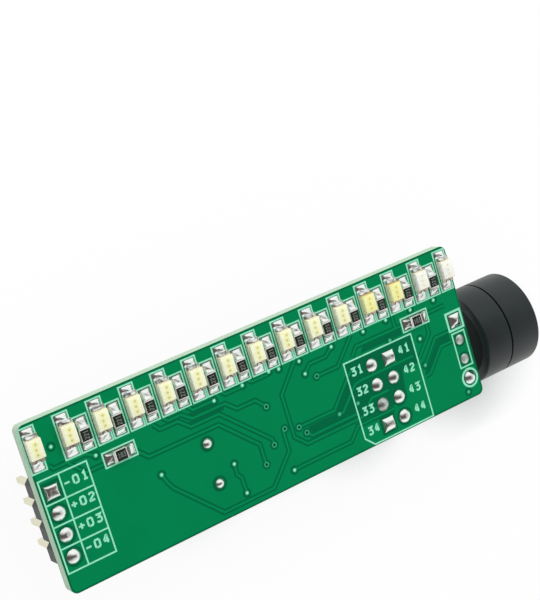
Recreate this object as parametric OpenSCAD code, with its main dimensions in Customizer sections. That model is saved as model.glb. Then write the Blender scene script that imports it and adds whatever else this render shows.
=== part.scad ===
// Overcurrent alarm module: a small circuit board that carries a bar of fifteen
// indicator lamps, with a sounder lying at its right end and two pin headers below.
// The board lies face up on its header pins. Z = 0 is the plane of the pin tips,
// and the origin is under the middle of the whole outline.
// Places on the board are given as distances from its edges, lamps at the top edge.

/* [Board] */
// Length of the board
board_l = 58.8; // [56:0.1:80]
// Width of the board
board_w = 19.6; // [18.6:0.1:32]
// Thickness of the laminate
board_t = 1.6; // [0.8:0.1:2.4]
// Corner radius of the board outline
board_corner = 0.8; // [0.2:0.1:2]
// Thickness of the tinned copper pads
pad_t = 0.05; // [0.03:0.01:0.1]
// Thickness of the printed lines
print_t = 0.03; // [0.02:0.01:0.06]
// Width of the thin printed lines
print_line = 0.18; // [0.1:0.02:0.3]
// Width of the bold printed lines round the sounder pads
print_bold = 0.28; // [0.2:0.02:0.4]

/* [Lamps] */
// Length of a lamp, across the board
lamp_l = 3.2; // [2.8:0.1:3.6]
// Width of a lamp, along the board
lamp_w = 1.6; // [1.2:0.05:1.8]
// Height of a lamp above its pads
lamp_h = 1.1; // [0.8:0.05:1.6]
// Thickness of the lamp's carrier plate
lamp_plate_t = 0.4; // [0.25:0.05:0.6]
// Length of the lamp's lens at its foot
lamp_lens_l = 2.4; // [1.6:0.1:2.6]
// Length that the lens loses at each end by its draft
lamp_lens_draft = 0.12; // [0.02:0.02:0.3]
// Radius of the plated notch in each end of a lamp
lamp_notch_r = 0.38; // [0.2:0.02:0.5]
// Thickness of the plating on a lamp's ends
lamp_plating_t = 0.04; // [0.02:0.01:0.08]
// Distance of the first and last lamps from the board's ends
lamp_margin = 1.05; // [0.95:0.05:1.5]
// Distance of the lamp row from the top edge
lamp_from_top = 2.8; // [2.7:0.05:4]
// Distance of the lamps above the middle of their pads
lamp_shift = 0.14; // [0:0.02:0.2]
// Distance of the lamps to the right of the middle of their pads
lamp_aside = 0.1; // [0:0.02:0.2]
// Width of the pads under a lamp
lamp_pad_w = 1.46; // [1.2:0.02:1.6]
// Length of the printed frame round a lamp
lamp_frame_l = 5.1; // [5:0.1:5.4]
// Width of the printed frame round a lamp
lamp_frame_w = 1.76; // [1.7:0.02:2.2]

/* [Chip resistors] */
// Length of a resistor or capacitor chip
chip_l = 2.0; // [1.6:0.05:2.2]
// Width of a chip
chip_w = 1.25; // [0.8:0.05:1.3]
// Thickness of a resistor chip
chip_t = 0.5; // [0.35:0.05:0.8]
// Length of the metal band on each end of a chip
chip_band = 0.35; // [0.2:0.05:0.5]
// Amount that the metal band stands proud of the chip
chip_band_proud = 0.03; // [0.01:0.01:0.06]
// Distance of the lamp resistors below the middle of their pads
chip_shift = 0.15; // [0:0.05:0.3]
// Distance of the lamp resistors to the left of midway between two lamps
chip_aside = 0.16; // [0:0.02:0.2]
// Length of the printed frame round a resistor
chip_frame_l = 4.0; // [3.8:0.1:4.4]
// Width of the printed frame round a resistor
chip_frame_w = 1.7; // [1.6:0.05:2]
// Distance of the two lengthwise resistors from the top edge
cross_chip_from_top = 7.3; // [6.9:0.05:8]
// Distance of the left lengthwise resistor from the left edge
left_chip_from_left = 10.1; // [8:0.1:14]
// Distance of the right lengthwise resistor from the right edge
right_chip_from_right = 7.1; // [6.2:0.1:9]

/* [Pads and solder] */
// Length that a solder pad stands out past a part's end
pad_toe = 0.8; // [0.5:0.05:0.85]
// Length that a solder pad reaches under a part's end
pad_heel = 0.45; // [0.2:0.05:0.5]
// Share of a chip's thickness that the solder climbs
fillet_climb = 0.8; // [0.4:0.05:1]
// Diameter of the round pads
pad_d = 1.66; // [1.5:0.02:1.8]
// Side of the square first pads
square_pad = 1.6; // [1.4:0.05:1.8]
// Clearance between a header hole and the corners of its pin
header_hole_clear = 0.1; // [0.05:0.01:0.2]
// Clearance between a round lead and its hole
lead_hole_clear = 0.2; // [0.1:0.01:0.25]
// Diameter of the holes under the two small filled pads
small_hole_d = 0.8; // [0.6:0.05:0.9]
// Height of a solder dome above the pad
dome_h = 0.55; // [0.5:0.05:1.2]
// Diameter of the small pads: the crystal's, and the two between the sounder leads
small_pad_d = 1.25; // [1:0.05:1.4]

/* [Pin headers] */
// Distance from pin to pin
pitch = 2.54; // [2.3:0.01:2.6]
// Side of the square pins
pin_w = 0.64; // [0.5:0.01:0.66]
// Length of pin that stands out below the plastic
pin_free = 6.0; // [5:0.1:8]
// Height of the plastic
plastic_h = 2.54; // [2:0.02:3]
// Length of pin above the board's face
pin_tail = 0.3; // [0.2:0.05:0.4]
// Length of the taper at a pin's tip
pin_taper = 0.45; // [0.2:0.05:0.6]
// Cut at the corners of each cell of the plastic
cell_cut = 0.5; // [0.2:0.05:0.7]
// Distance of the input header from the left edge
input_from_left = 1.48; // [1.4:0.02:2]
// Distance of the input header's last pin from the lower edge
input_from_lower = 4.01; // [3:0.01:4.5]
// Distance of the programming header's right column from the right edge
program_from_right = 12.2; // [11.5:0.02:12.6]
// Distance of the programming header's last row from the lower edge
program_from_lower = 1.79; // [1.6:0.01:2.6]

/* [Crystal] */
// Length of the crystal's flange
crystal_l = 11.35; // [10:0.05:11.6]
// Width of the crystal's flange
crystal_w = 4.65; // [4:0.05:5]
// Height of the crystal's can
crystal_h = 3.5; // [3:0.1:5]
// Thickness of the crystal's flange
crystal_flange_t = 0.5; // [0.3:0.05:0.8]
// Width of the flange round the can
crystal_flange_w = 0.45; // [0.3:0.05:0.6]
// Radius of the can's rounded top edge
crystal_round = 0.7; // [0.3:0.05:1]
// Distance between the crystal's leads
crystal_pitch = 4.88; // [4.4:0.02:5.2]
// Diameter of the crystal's leads
crystal_lead_d = 0.43; // [0.35:0.01:0.5]
// Distance of the crystal from the left edge
crystal_from_left = 20.4; // [20:0.1:20.8]
// Distance of the crystal from the lower edge
crystal_from_lower = 6.73; // [6.3:0.01:8]

/* [Sounder] */
// Diameter of the sounder
sounder_d = 12.0; // [11.6:0.1:12.2]
// Length of the sounder
sounder_l = 8.5; // [7.5:0.1:12]
// Gap between the board's end and the sounder
sounder_gap = 1.17; // [1:0.01:2]
// Gap between the sounder and the plane of the pin tips
sounder_lift = 0.04; // [0:0.01:0.5]
// Distance of the sounder's leads from the right edge
sounder_lead_in = 1.44; // [1.3:0.02:1.6]
// Distance of the lower sounder lead from the lower edge
sounder_from_lower = 2.58; // [2:0.01:3]
// Diameter of the sounder's leads
sounder_lead_d = 0.6; // [0.4:0.02:0.64]
// Radius of the bend in each lead, at the middle of the wire
sounder_bend_r = 1.0; // [0.6:0.05:1.1]
// Distance of the seam from the sounder's base
seam_from_base = 3.94; // [3.8:0.02:4.2]
// Depth of the groove along the seam
seam_cut = 0.14; // [0.06:0.02:0.3]
// Rounding of the sounder's outer rims
rim_cut = 0.22; // [0.1:0.02:0.4]
// Wall thickness of the sounder's cap
cap_wall = 0.8; // [0.6:0.05:1]
// Wall thickness of the sounder's base
base_wall = 1.2; // [1.1:0.05:1.35]
// Thickness of the base's floor
base_floor_t = 0.55; // [0.4:0.05:0.7]
// Depth of the recess under the floor
recess_d = 0.55; // [0.4:0.05:0.7]
// Depth of the sealing resin in that recess
resin_t = 0.4; // [0.2:0.05:0.4]
// Diameter of the sound hole
sound_hole_d = 2.6; // [1.6:0.1:3.5]
// Wall of the short tube behind the sound hole
neck_wall = 0.5; // [0.3:0.05:0.8]
// Length of that tube
neck_l = 1.3; // [0.5:0.1:1.6]
// Thickness of the steel plate under the coil
yoke_t = 0.5; // [0.4:0.05:0.6]
// Diameter of the steel core
core_d = 2.4; // [1.6:0.1:2.6]
// Gap between the core's end and the diaphragm
air_gap = 0.25; // [0.15:0.05:0.4]
// Outer diameter of the coil
coil_d = 5.6; // [4:0.1:5.8]
// Gap between the coil and the core, and between the coil and the magnet
coil_clear = 0.1; // [0.05:0.01:0.15]
// Wall thickness of the ring magnet
magnet_wall = 1.2; // [0.8:0.05:1.3]
// Height of the ring magnet
magnet_h = 1.4; // [0.8:0.05:1.5]
// Thickness of the diaphragm
diaphragm_t = 0.12; // [0.08:0.01:0.2]
// Diameter of the weight on the diaphragm
weight_d = 3.6; // [2.5:0.1:4]
// Thickness of that weight
weight_t = 0.6; // [0.3:0.05:0.8]
// Depth of the ledge that the diaphragm lies on, below the seam
ledge_depth = 0.5; // [0.35:0.05:0.6]
// Width of the ledge that the diaphragm lies on
ledge_w = 0.5; // [0.35:0.05:0.55]

/* [Controller] */
// Side of the controller's body
controller_w = 7.0; // [6:0.1:7.2]
// Height of the controller's body
controller_h = 1.0; // [0.8:0.05:1.4]
// Distance from lead to lead on the controller
controller_pitch = 0.8; // [0.6:0.05:0.8]
// Width of a controller lead
controller_lead_w = 0.36; // [0.25:0.01:0.4]
// Distance of the controller from the lower edge
controller_from_lower = 8.25; // [7:0.05:9]

/* [Current sensing and supply] */
// Length of the sensing amplifier's body, across the board
amplifier_l = 4.9; // [4.5:0.1:5.2]
// Width of the sensing amplifier's body
amplifier_w = 3.9; // [3.4:0.1:4]
// Height of the sensing amplifier's body
amplifier_h = 1.45; // [1:0.05:1.75]
// Distance from lead to lead on the sensing amplifier
amplifier_pitch = 1.27; // [1:0.01:1.3]
// Width of an amplifier lead
amplifier_lead_w = 0.42; // [0.3:0.01:0.5]
// Length of the shunt resistor
shunt_l = 6.35; // [6:0.05:6.6]
// Width of the shunt resistor
shunt_w = 3.2; // [2.8:0.05:3.4]
// Thickness of the shunt resistor
shunt_t = 0.65; // [0.5:0.05:0.9]
// Distance of the shunt resistor from the left edge
shunt_from_left = 6.6; // [6:0.1:7]
// Distance of the shunt resistor and the amplifier from the lower edge
sensing_from_lower = 7.8; // [7.2:0.1:8.6]
// Length of the regulator's body
regulator_l = 4.5; // [4.2:0.1:4.8]
// Width of the regulator's body
regulator_w = 2.5; // [2.2:0.1:2.7]
// Height of the regulator's body
regulator_h = 1.5; // [1.2:0.05:1.8]
// Length that the regulator's leads stand out past its body
regulator_reach = 0.85; // [0.6:0.05:0.9]
// Distance of the regulator from the left edge
regulator_from_left = 8.0; // [6:0.1:9]
// Distance of the regulator from the top edge
regulator_from_top = 3.35; // [3:0.05:3.8]

/* [Sounder driver and capacitors] */
// Length of the transistor's body
transistor_l = 2.9; // [2.6:0.1:3.1]
// Width of the transistor's body
transistor_w = 1.3; // [1.1:0.05:1.5]
// Height of the transistor's body
transistor_h = 0.95; // [0.8:0.05:1.2]
// Distance of the transistor and the diode from the right edge
driver_from_right = 6.4; // [6:0.1:6.8]
// Distance of the transistor from the lower edge
transistor_from_lower = 5.4; // [4.4:0.1:6]
// Length of the diode's body
diode_l = 2.7; // [2.4:0.1:2.9]
// Width of the diode's body
diode_w = 1.6; // [1.3:0.05:1.8]
// Height of the diode's body
diode_h = 1.1; // [0.8:0.05:1.4]
// Distance of the diode from the lower edge
diode_from_lower = 10.0; // [9.4:0.1:11]
// Thickness of a capacitor chip
capacitor_t = 0.85; // [0.5:0.05:1.25]
// Gap between the crystal and its two capacitors
load_caps_gap = 1.7; // [1:0.1:2.4]
// Distance of the two supply capacitors from the top edge
supply_caps_from_top = 3.35; // [2.4:0.05:3.6]
// Distance of the first supply capacitor from the left edge
supply_caps_from_left = 13.6; // [12.8:0.1:15]
// Distance between the two supply capacitors
supply_caps_step = 3.2; // [2:0.1:4]
// Gap between the controller's leads and its own two capacitors
controller_caps_gap = 1.3; // [1:0.05:1.6]

/* [Hidden] */

// Segments of a round face
$fn = 64;

lamp_count = 15;
input_pin_count = 4;
program_rows = 4;
sounder_pad_rows = 4;
controller_leads_a_side = 8;
amplifier_leads_a_side = 4;
fillet_steps = 4;
dome_steps = 8;
cut = 0.1;

overall_l = board_l + sounder_gap + sounder_l;
back_z = pin_free + plastic_h + pad_t;
face_z = back_z + board_t;
seat_front_z = face_z + pad_t;
seat_back_z = back_z - pad_t;

lamp_pitch = (board_l - 2 * lamp_margin) / (lamp_count - 1);
lamp_frame_from_top = lamp_from_top + lamp_shift;
chip_frame_from_top = lamp_frame_from_top + lamp_frame_l / 2 - chip_frame_l / 2;
chip_from_top = chip_frame_from_top + chip_shift;
band_t = chip_t + chip_band_proud;

header_hole_d = pin_w * sqrt(2) + header_hole_clear;
crystal_hole_d = crystal_lead_d + lead_hole_clear;
sounder_hole_d = sounder_lead_d + lead_hole_clear;

input_x = from_left(input_from_left);
input_y = from_lower(input_from_lower);
program_x = from_right(program_from_right);
program_y = from_lower(program_from_lower);
crystal_x = from_left(crystal_from_left);
crystal_y = from_lower(crystal_from_lower);
sounder_pad_x = from_right(sounder_lead_in);
sounder_pad_y = from_lower(sounder_from_lower);
sounder_y = sounder_pad_y + (sounder_pad_rows - 1) * pitch / 2;
sounder_z = sounder_lift + sounder_d / 2;
sounder_base_x = from_right(-sounder_gap);
sounder_r = sounder_d / 2;
sounder_lead_r = (sounder_pad_rows - 1) * pitch / 2;
lead_tail = pin_tail;

base_floor_z = recess_d + base_floor_t;
ledge_z = seam_from_base - ledge_depth;
base_bore_r = sounder_r - base_wall;
ledge_r = base_bore_r + ledge_w;
core_top_z = ledge_z - air_gap;
yoke_top_z = base_floor_z + yoke_t;
coil_h = core_top_z - yoke_top_z - coil_clear;
magnet_r = base_bore_r - coil_clear;
diaphragm_r = ledge_r - coil_clear;

// The controller lies midway between the crystal's capacitors and the programming
// header, and the amplifier midway between the shunt resistor and the crystal
load_caps_x = crystal_x + crystal_w / 2 + load_caps_gap + chip_w / 2;
program_left = program_x - 1.5 * pitch;
controller_x = (load_caps_x + chip_w / 2 + program_left) / 2;
controller_y = from_lower(controller_from_lower);
shunt_x = from_left(shunt_from_left);
amplifier_x = (shunt_x + shunt_w / 2 + crystal_x - crystal_w / 2) / 2;
sensing_y = from_lower(sensing_from_lower);
regulator_x = from_left(regulator_from_left);
regulator_y = from_top(regulator_from_top);
driver_x = from_right(driver_from_right);

gull_lead_t = 0.15;
gull_foot = 0.5;
gull_reach = 1.0;
gull_rise_share = 0.5;
small_lead_w = 0.42;
small_lead_pitch = 0.95;
small_lead_reach = 0.55;
regulator_lead_pitch = 1.5;
regulator_lead_w = 0.46;
regulator_tab_w = 1.7;
flat_lead_t = 0.4;
diode_lead_w = 0.6;
diode_lead_reach = 0.5;
body_lift = 0.1;
body_draft = 0.12;
gull_pad_w_extra = 0.14;
gull_pad_toe = 0.35;
program_frame_side = 3.87;
program_frame_end = 1.58;
program_frame_cut = 1.15;
program_frame_shift = 0.12;
input_frame_left = 1.17;
input_frame_divider = 1.29;
input_frame_label = 3.43;
input_frame_end = 1.55;
sounder_frame_half = 1.12;
sounder_ring_r = 1.12;
small_pads_frame_w = 1.92;
small_pads_frame_l = 4.5;
first_lead_mark_d = 0.8;
first_lead_mark_depth = 0.1;
first_lead_mark_inset = 1.05;

function from_left(d) = d - overall_l / 2;
function from_right(d) = board_l - d - overall_l / 2;
function from_top(d) = board_w / 2 - d;
function from_lower(d) = d - board_w / 2;
function lamp_x(i) = from_left(lamp_margin + (i - 1) * lamp_pitch);
function resistor_x(i) = lamp_x(i) + lamp_pitch / 2 - chip_aside;
function two_digits(i) = str(i < 10 ? "0" : "", i);

// Centres of the chip capacitors on the underside, with their turn in degrees
controller_reach = controller_w / 2 + gull_reach;
controller_caps_y = controller_reach + controller_caps_gap + chip_w / 2;
capacitor_places = [
    [from_left(supply_caps_from_left), from_top(supply_caps_from_top), 0],
    [from_left(supply_caps_from_left + supply_caps_step), from_top(supply_caps_from_top), 0],
    [load_caps_x, crystal_y + crystal_pitch / 2, 0],
    [load_caps_x, crystal_y - crystal_pitch / 2, 0],
    [controller_x, controller_y + controller_caps_y, 90],
    [controller_x, controller_y - controller_caps_y, 90]
];

// Frames of reference for the two faces of the board

module on_front(x, y, turn = 0) translate([x, y, seat_front_z]) rotate(turn) children();

module on_back(x, y, turn = 0) translate([x, y, seat_back_z]) mirror([0, 0, 1]) rotate(turn) children();

module on_sounder() translate([sounder_base_x, sounder_y, sounder_z]) rotate([0, 90, 0]) children();

// Middles of the pads of the lamps and of the resistors between them
module at_lamps() {
    for (i = [1:lamp_count]) translate([lamp_x(i) - lamp_aside, from_top(lamp_frame_from_top)]) children();
}

module at_lamp_resistors() {
    for (i = [2:lamp_count - 1]) translate([resistor_x(i), from_top(chip_frame_from_top)]) children();
}

module at_cross_resistors() {
    for (x = [from_left(left_chip_from_left), from_right(right_chip_from_right)])
        translate([x, from_top(cross_chip_from_top)]) rotate(90) children();
}

module at_input_pins() {
    for (i = [0:input_pin_count - 1]) translate([input_x, input_y + i * pitch]) children();
}

module at_program_pins() {
    for (i = [0:program_rows - 1], column = [-1, 0])
        translate([program_x + column * pitch, program_y + i * pitch]) children();
}

module at_crystal_leads() {
    for (side = [-1, 1]) translate([crystal_x, crystal_y + side * crystal_pitch / 2]) children();
}

module at_sounder_leads() {
    for (side = [-1, 1]) translate([sounder_pad_x, sounder_y + side * sounder_lead_r]) children();
}

module at_small_pads() {
    for (i = [1:sounder_pad_rows - 2]) translate([sounder_pad_x, sounder_pad_y + i * pitch]) children();
}

// Plain shapes used by several pieces

module rounded_outline(l, w, r) {
    square([l - 2 * r, w], center = true);
    square([l, w - 2 * r], center = true);
    for (sx = [-1, 1], sy = [-1, 1]) translate([sx * (l / 2 - r), sy * (w / 2 - r)]) circle(r);
}

module box_frame(l, w, line) {
    difference() {
        square([l + line, w + line], center = true);
        square([l - line, w - line], center = true);
    }
}

module board_outline() {
    translate([from_left(board_l / 2), 0]) rounded_outline(board_l, board_w, board_corner);
}

// A block whose four sides lean in towards the top, as a moulded body's do
module drafted_block(l, w, h, draft) {
    intersection() {
        translate([0, w / 2, 0]) rotate([90, 0, 0]) linear_extrude(w)
            polygon([[-l / 2, 0], [l / 2, 0], [l / 2 - draft, h], [draft - l / 2, h]]);
        translate([-l / 2, 0, 0]) rotate([90, 0, 90]) linear_extrude(l)
            polygon([[-w / 2, 0], [w / 2, 0], [w / 2 - draft, h], [draft - w / 2, h]]);
    }
}

// A body that stands on its flat leads, upright as high as they are thick
module flat_body(l, w, h, lead_t) {
    translate([0, 0, lead_t / 2]) cube([l, w, lead_t], center = true);
    translate([0, 0, lead_t]) drafted_block(l, w, h - lead_t, body_draft);
}

// A moulded body, widest at its parting line, with a round mark beside its first lead
module moulded_body(l, w, h) {
    middle = body_lift + (h - body_lift) / 2;
    difference() {
        union() {
            translate([0, 0, middle]) drafted_block(l, w, h - middle, body_draft);
            translate([0, 0, middle]) mirror([0, 0, 1]) drafted_block(l, w, middle - body_lift, body_draft);
        }
        translate([first_lead_mark_inset - l / 2, first_lead_mark_inset - w / 2, h - first_lead_mark_depth])
            cylinder(d = first_lead_mark_d, h = first_lead_mark_depth + cut);
    }
}

// A lead that leaves a body at height rise, steps down and ends in a flat foot
module gull_lead(w, rise, reach, foot) {
    t = gull_lead_t;
    knee = reach - foot;
    translate([0, w / 2, 0]) rotate([90, 0, 0]) linear_extrude(w) polygon([
        [0, rise], [0, rise + t], [knee / 2 + t / 2, rise + t], [knee + t / 2, t],
        [reach, t], [reach, 0], [knee - t / 2, 0], [knee / 2 - t / 2, rise]
    ]);
}

module gull_row(count, step, w, rise) {
    for (i = [0:count - 1])
        translate([0, (i - (count - 1) / 2) * step, 0]) gull_lead(w, rise, gull_reach, gull_foot);
}

module chip(l, w, t, band, proud) {
    translate([0, 0, t / 2 + proud / 2]) cube([w - 2 * proud, l - 2 * band, t - proud], center = true);
    for (side = [-1, 1])
        translate([0, side * (l - band) / 2, (t + proud) / 2]) cube([w, band, t + proud], center = true);
}

// The pair of pads under a two-ended part that lies along Y
module chip_pads(l, w) {
    middle = l / 2 + (pad_toe - pad_heel) / 2;
    for (side = [-1, 1]) translate([0, side * middle]) square([w, pad_toe + pad_heel], center = true);
}

// The solder that rises from each pad to the end of a two-ended part, which may lie
// a short way off the middle of its pads
module chip_solder(l, w, h, shift = 0) {
    for (side = [-1, 1]) {
        toe = pad_toe - side * shift;
        curve = [for (i = [0:fillet_steps])
            let (a = 90 * i / fillet_steps) [toe * (1 - cos(a)), h * (1 - sin(a))]];
        translate([0, shift, 0]) rotate(side == 1 ? 0 : 180)
            translate([-w / 2, l / 2, 0]) rotate([90, 0, 90]) linear_extrude(w)
                polygon(concat([[0, 0]], curve));
    }
}

module square_pin(low, high) {
    module side_view() {
        translate([0, pin_w / 2, 0]) rotate([90, 0, 0]) linear_extrude(pin_w) polygon([
            [-pin_w / 4, low], [pin_w / 4, low], [pin_w / 2, low + pin_taper],
            [pin_w / 2, high], [-pin_w / 2, high], [-pin_w / 2, low + pin_taper]
        ]);
    }
    intersection() {
        side_view();
        rotate(90) side_view();
    }
}

// One square cell of a header's plastic, seen from below
module header_cell() {
    half = pitch / 2;
    polygon([
        [-half, cell_cut - half], [cell_cut - half, -half], [half - cell_cut, -half], [half, cell_cut - half],
        [half, half - cell_cut], [half - cell_cut, half], [cell_cut - half, half], [-half, half - cell_cut]
    ]);
}

// The board and what is plated and printed on it

module circuit_board() {
    color([0.0, 0.51, 0.30]) difference() {
        translate([0, 0, back_z]) linear_extrude(board_t) board_outline();
        at_input_pins() drill(header_hole_d);
        at_program_pins() drill(header_hole_d);
        at_crystal_leads() drill(crystal_hole_d);
        at_sounder_leads() drill(sounder_hole_d);
        at_small_pads() drill(small_hole_d);
    }
}

module drill(d) translate([0, 0, back_z - cut]) cylinder(d = d, h = board_t + 2 * cut);

module round_pad(d, hole) {
    difference() {
        circle(d = d);
        circle(d = hole);
    }
}

module first_pad(hole) {
    difference() {
        square(square_pad, center = true);
        circle(d = hole);
    }
}

// Pads of the leaded parts, the same on both faces
module drilled_pads() {
    for (i = [0:input_pin_count - 1]) translate([input_x, input_y + i * pitch])
        if (i == input_pin_count - 1) first_pad(header_hole_d);
        else round_pad(pad_d, header_hole_d);
    for (i = [0:program_rows - 1], column = [-1, 0])
        translate([program_x + column * pitch, program_y + i * pitch])
            if ((i == 0 && column == -1) || (i == program_rows - 1 && column == 0)) first_pad(header_hole_d);
            else round_pad(pad_d, header_hole_d);
    at_crystal_leads() round_pad(small_pad_d, crystal_hole_d);
    at_small_pads() round_pad(small_pad_d, small_hole_d);
    for (side = [-1, 1]) translate([sounder_pad_x, sounder_y + side * sounder_lead_r])
        if (side == 1) first_pad(sounder_hole_d);
        else round_pad(pad_d, sounder_hole_d);
}

module front_pads() {
    at_lamps() chip_pads(lamp_l, lamp_pad_w);
    at_lamp_resistors() chip_pads(chip_l, chip_w);
    at_cross_resistors() chip_pads(chip_l, chip_w);
}

module gull_pads(count, step, w, reach) {
    for (i = [0:count - 1])
        translate([reach - gull_foot, (i - count / 2 + 0.5) * step - (w + gull_pad_w_extra) / 2])
            square([gull_foot + gull_pad_toe, w + gull_pad_w_extra]);
}

module back_pads() {
    for (turn = [0:90:270]) translate([controller_x, controller_y]) rotate(turn)
        gull_pads(controller_leads_a_side, controller_pitch, controller_lead_w, controller_reach);
    for (turn = [0, 180]) translate([amplifier_x, sensing_y]) rotate(turn)
        gull_pads(amplifier_leads_a_side, amplifier_pitch, amplifier_lead_w, amplifier_w / 2 + gull_reach);
    translate([shunt_x, sensing_y]) chip_pads(shunt_l, shunt_w);
    translate([regulator_x, regulator_y]) regulator_feet();
    translate([driver_x, from_lower(transistor_from_lower)]) transistor_feet();
    translate([driver_x, from_lower(diode_from_lower)]) diode_feet();
    for (place = capacitor_places) translate([place[0], place[1]]) rotate(place[2]) chip_pads(chip_l, chip_w);
}

module tinned_pads() {
    color([0.80, 0.81, 0.80]) {
        translate([0, 0, face_z]) linear_extrude(pad_t) {
            drilled_pads();
            front_pads();
        }
        translate([0, 0, seat_back_z]) linear_extrude(pad_t) {
            drilled_pads();
            back_pads();
        }
    }
}

module input_table() {
    rows = input_pin_count;
    low = input_y - input_frame_end;
    high = input_y + (rows - 1) * pitch + input_frame_end;
    left = input_x - input_frame_left;
    divider = input_x + input_frame_divider;
    right = divider + input_frame_label;
    middle = (left + right) / 2;
    translate([middle, (low + high) / 2]) box_frame(right - left, high - low, print_line);
    translate([divider, (low + high) / 2]) square([print_line, high - low], center = true);
    for (i = [1:rows - 1])
        translate([middle, input_y + (i - 0.5) * pitch]) square([right - left, print_line], center = true);
}

module program_frame() {
    half_l = pitch / 2 + program_frame_side;
    half_w = (program_rows - 1) * pitch / 2 + program_frame_end;
    module outline(grow) {
        l = half_l + grow;
        w = half_w + grow;
        c = program_frame_cut + grow / 2;
        polygon([[-l, w], [l, w], [l, -w], [c - l, -w], [-l, c - w]]);
    }
    middle_x = program_x - pitch / 2 + program_frame_shift;
    translate([middle_x, program_y + (program_rows - 1) * pitch / 2]) difference() {
        outline(print_line / 2);
        outline(-print_line / 2);
    }
}

module sounder_frames() {
    translate([sounder_pad_x, sounder_y + sounder_lead_r])
        box_frame(2 * sounder_frame_half, 2 * sounder_frame_half, print_bold);
    translate([sounder_pad_x, sounder_y])
        box_frame(small_pads_frame_w, small_pads_frame_l, print_line);
    translate([sounder_pad_x, sounder_y - sounder_lead_r]) difference() {
        circle(sounder_ring_r + print_bold / 2);
        circle(sounder_ring_r - print_bold / 2);
    }
}

module printed_lines() {
    color([0.80, 0.93, 0.87]) translate([0, 0, face_z]) linear_extrude(print_t) difference() {
        intersection() {
            board_outline();
            union() {
                at_lamps() box_frame(lamp_frame_w, lamp_frame_l, print_line);
                for (i = [2:lamp_count - 1]) translate([resistor_x(i), from_top(chip_frame_from_top)])
                    box_frame(chip_frame_w, chip_frame_l, print_line);
                at_cross_resistors() box_frame(chip_frame_w, chip_frame_l, print_line);
                input_table();
                program_frame();
                sounder_frames();
            }
        }
        front_pads();
        drilled_pads();
    }
}

// Lamps and chip resistors on the face

module lamp(i) {
    color([0.95, 0.94, 0.74]) on_front(lamp_x(i), from_top(lamp_from_top)) {
        difference() {
            union() {
                translate([0, 0, lamp_plate_t / 2]) cube([lamp_w, lamp_l, lamp_plate_t], center = true);
                for (side = [-1, 1])
                    translate([0, side * (lamp_l + lamp_lens_l) / 4, lamp_plate_t])
                        cube([lamp_w, (lamp_l - lamp_lens_l) / 2, 2 * lamp_plating_t], center = true);
            }
            for (side = [-1, 1]) translate([0, side * lamp_l / 2, -cut])
                cylinder(r = lamp_notch_r, h = lamp_plate_t + lamp_plating_t + 2 * cut);
        }
        translate([lamp_w / 2, 0, lamp_plate_t]) rotate([90, 0, -90]) linear_extrude(lamp_w) polygon([
            [-lamp_lens_l / 2, 0], [lamp_lens_l / 2, 0],
            [lamp_lens_l / 2 - lamp_lens_draft, lamp_h - lamp_plate_t],
            [lamp_lens_draft - lamp_lens_l / 2, lamp_h - lamp_plate_t]
        ]);
    }
}

module lamp_resistor(i) {
    color([0.16, 0.16, 0.17]) on_front(resistor_x(i), from_top(chip_from_top))
        chip(chip_l, chip_w, chip_t, chip_band, chip_band_proud);
}

module left_resistor() {
    color([0.16, 0.16, 0.17]) on_front(from_left(left_chip_from_left), from_top(cross_chip_from_top), 90)
        chip(chip_l, chip_w, chip_t, chip_band, chip_band_proud);
}

module right_resistor() {
    color([0.16, 0.16, 0.17]) on_front(from_right(right_chip_from_right), from_top(cross_chip_from_top), 90)
        chip(chip_l, chip_w, chip_t, chip_band, chip_band_proud);
}

// Pin headers

// One cell of a header's plastic with the square hole for its pin
module drilled_cell() {
    difference() {
        header_cell();
        square(pin_w, center = true);
    }
}

module input_header() {
    color([0.13, 0.13, 0.14]) translate([0, 0, pin_free])
        linear_extrude(plastic_h) at_input_pins() drilled_cell();
}

module input_pins() {
    color([0.86, 0.78, 0.50]) at_input_pins() square_pin(0, face_z + pin_tail);
}

module programming_header() {
    color([0.13, 0.13, 0.14]) translate([0, 0, pin_free])
        linear_extrude(plastic_h) at_program_pins() drilled_cell();
}

module programming_pins() {
    color([0.86, 0.78, 0.50]) at_program_pins() square_pin(0, face_z + pin_tail);
}

// Crystal, its length across the board

module stadium(l, w) {
    square([w, l - w], center = true);
    for (side = [-1, 1]) translate([0, side * (l - w) / 2]) circle(d = w);
}

// A stadium-shaped can with a rounded top edge
module rounded_can(l, w, h, round) {
    module half_profile() {
        square([w / 2 - round, h]);
        square([w / 2, h - round]);
        translate([w / 2 - round, h - round]) circle(round);
    }
    for (side = [-1, 1]) translate([0, side * (l - w) / 2, 0]) rotate_extrude() half_profile();
    translate([0, (l - w) / 2, 0]) rotate([90, 0, 0]) linear_extrude(l - w) {
        half_profile();
        mirror([1, 0]) half_profile();
    }
}

module crystal_can() {
    can_h = crystal_h - crystal_flange_t;
    color([0.78, 0.78, 0.77]) on_back(crystal_x, crystal_y) translate([0, 0, crystal_flange_t])
        rounded_can(crystal_l - 2 * crystal_flange_w, crystal_w - 2 * crystal_flange_w, can_h, crystal_round);
}

module crystal_base() {
    color([0.72, 0.72, 0.70]) on_back(crystal_x, crystal_y) linear_extrude(crystal_flange_t) difference() {
        stadium(crystal_l, crystal_w);
        for (side = [-1, 1]) translate([0, side * crystal_pitch / 2]) circle(d = crystal_lead_d);
    }
}

module crystal_leads() {
    low = seat_back_z - crystal_flange_t;
    color([0.80, 0.80, 0.78]) at_crystal_leads()
        translate([0, 0, low]) cylinder(d = crystal_lead_d, h = face_z + lead_tail - low);
}

// Sounder, built with its axis upright and its base at zero, then laid along the board

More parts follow.
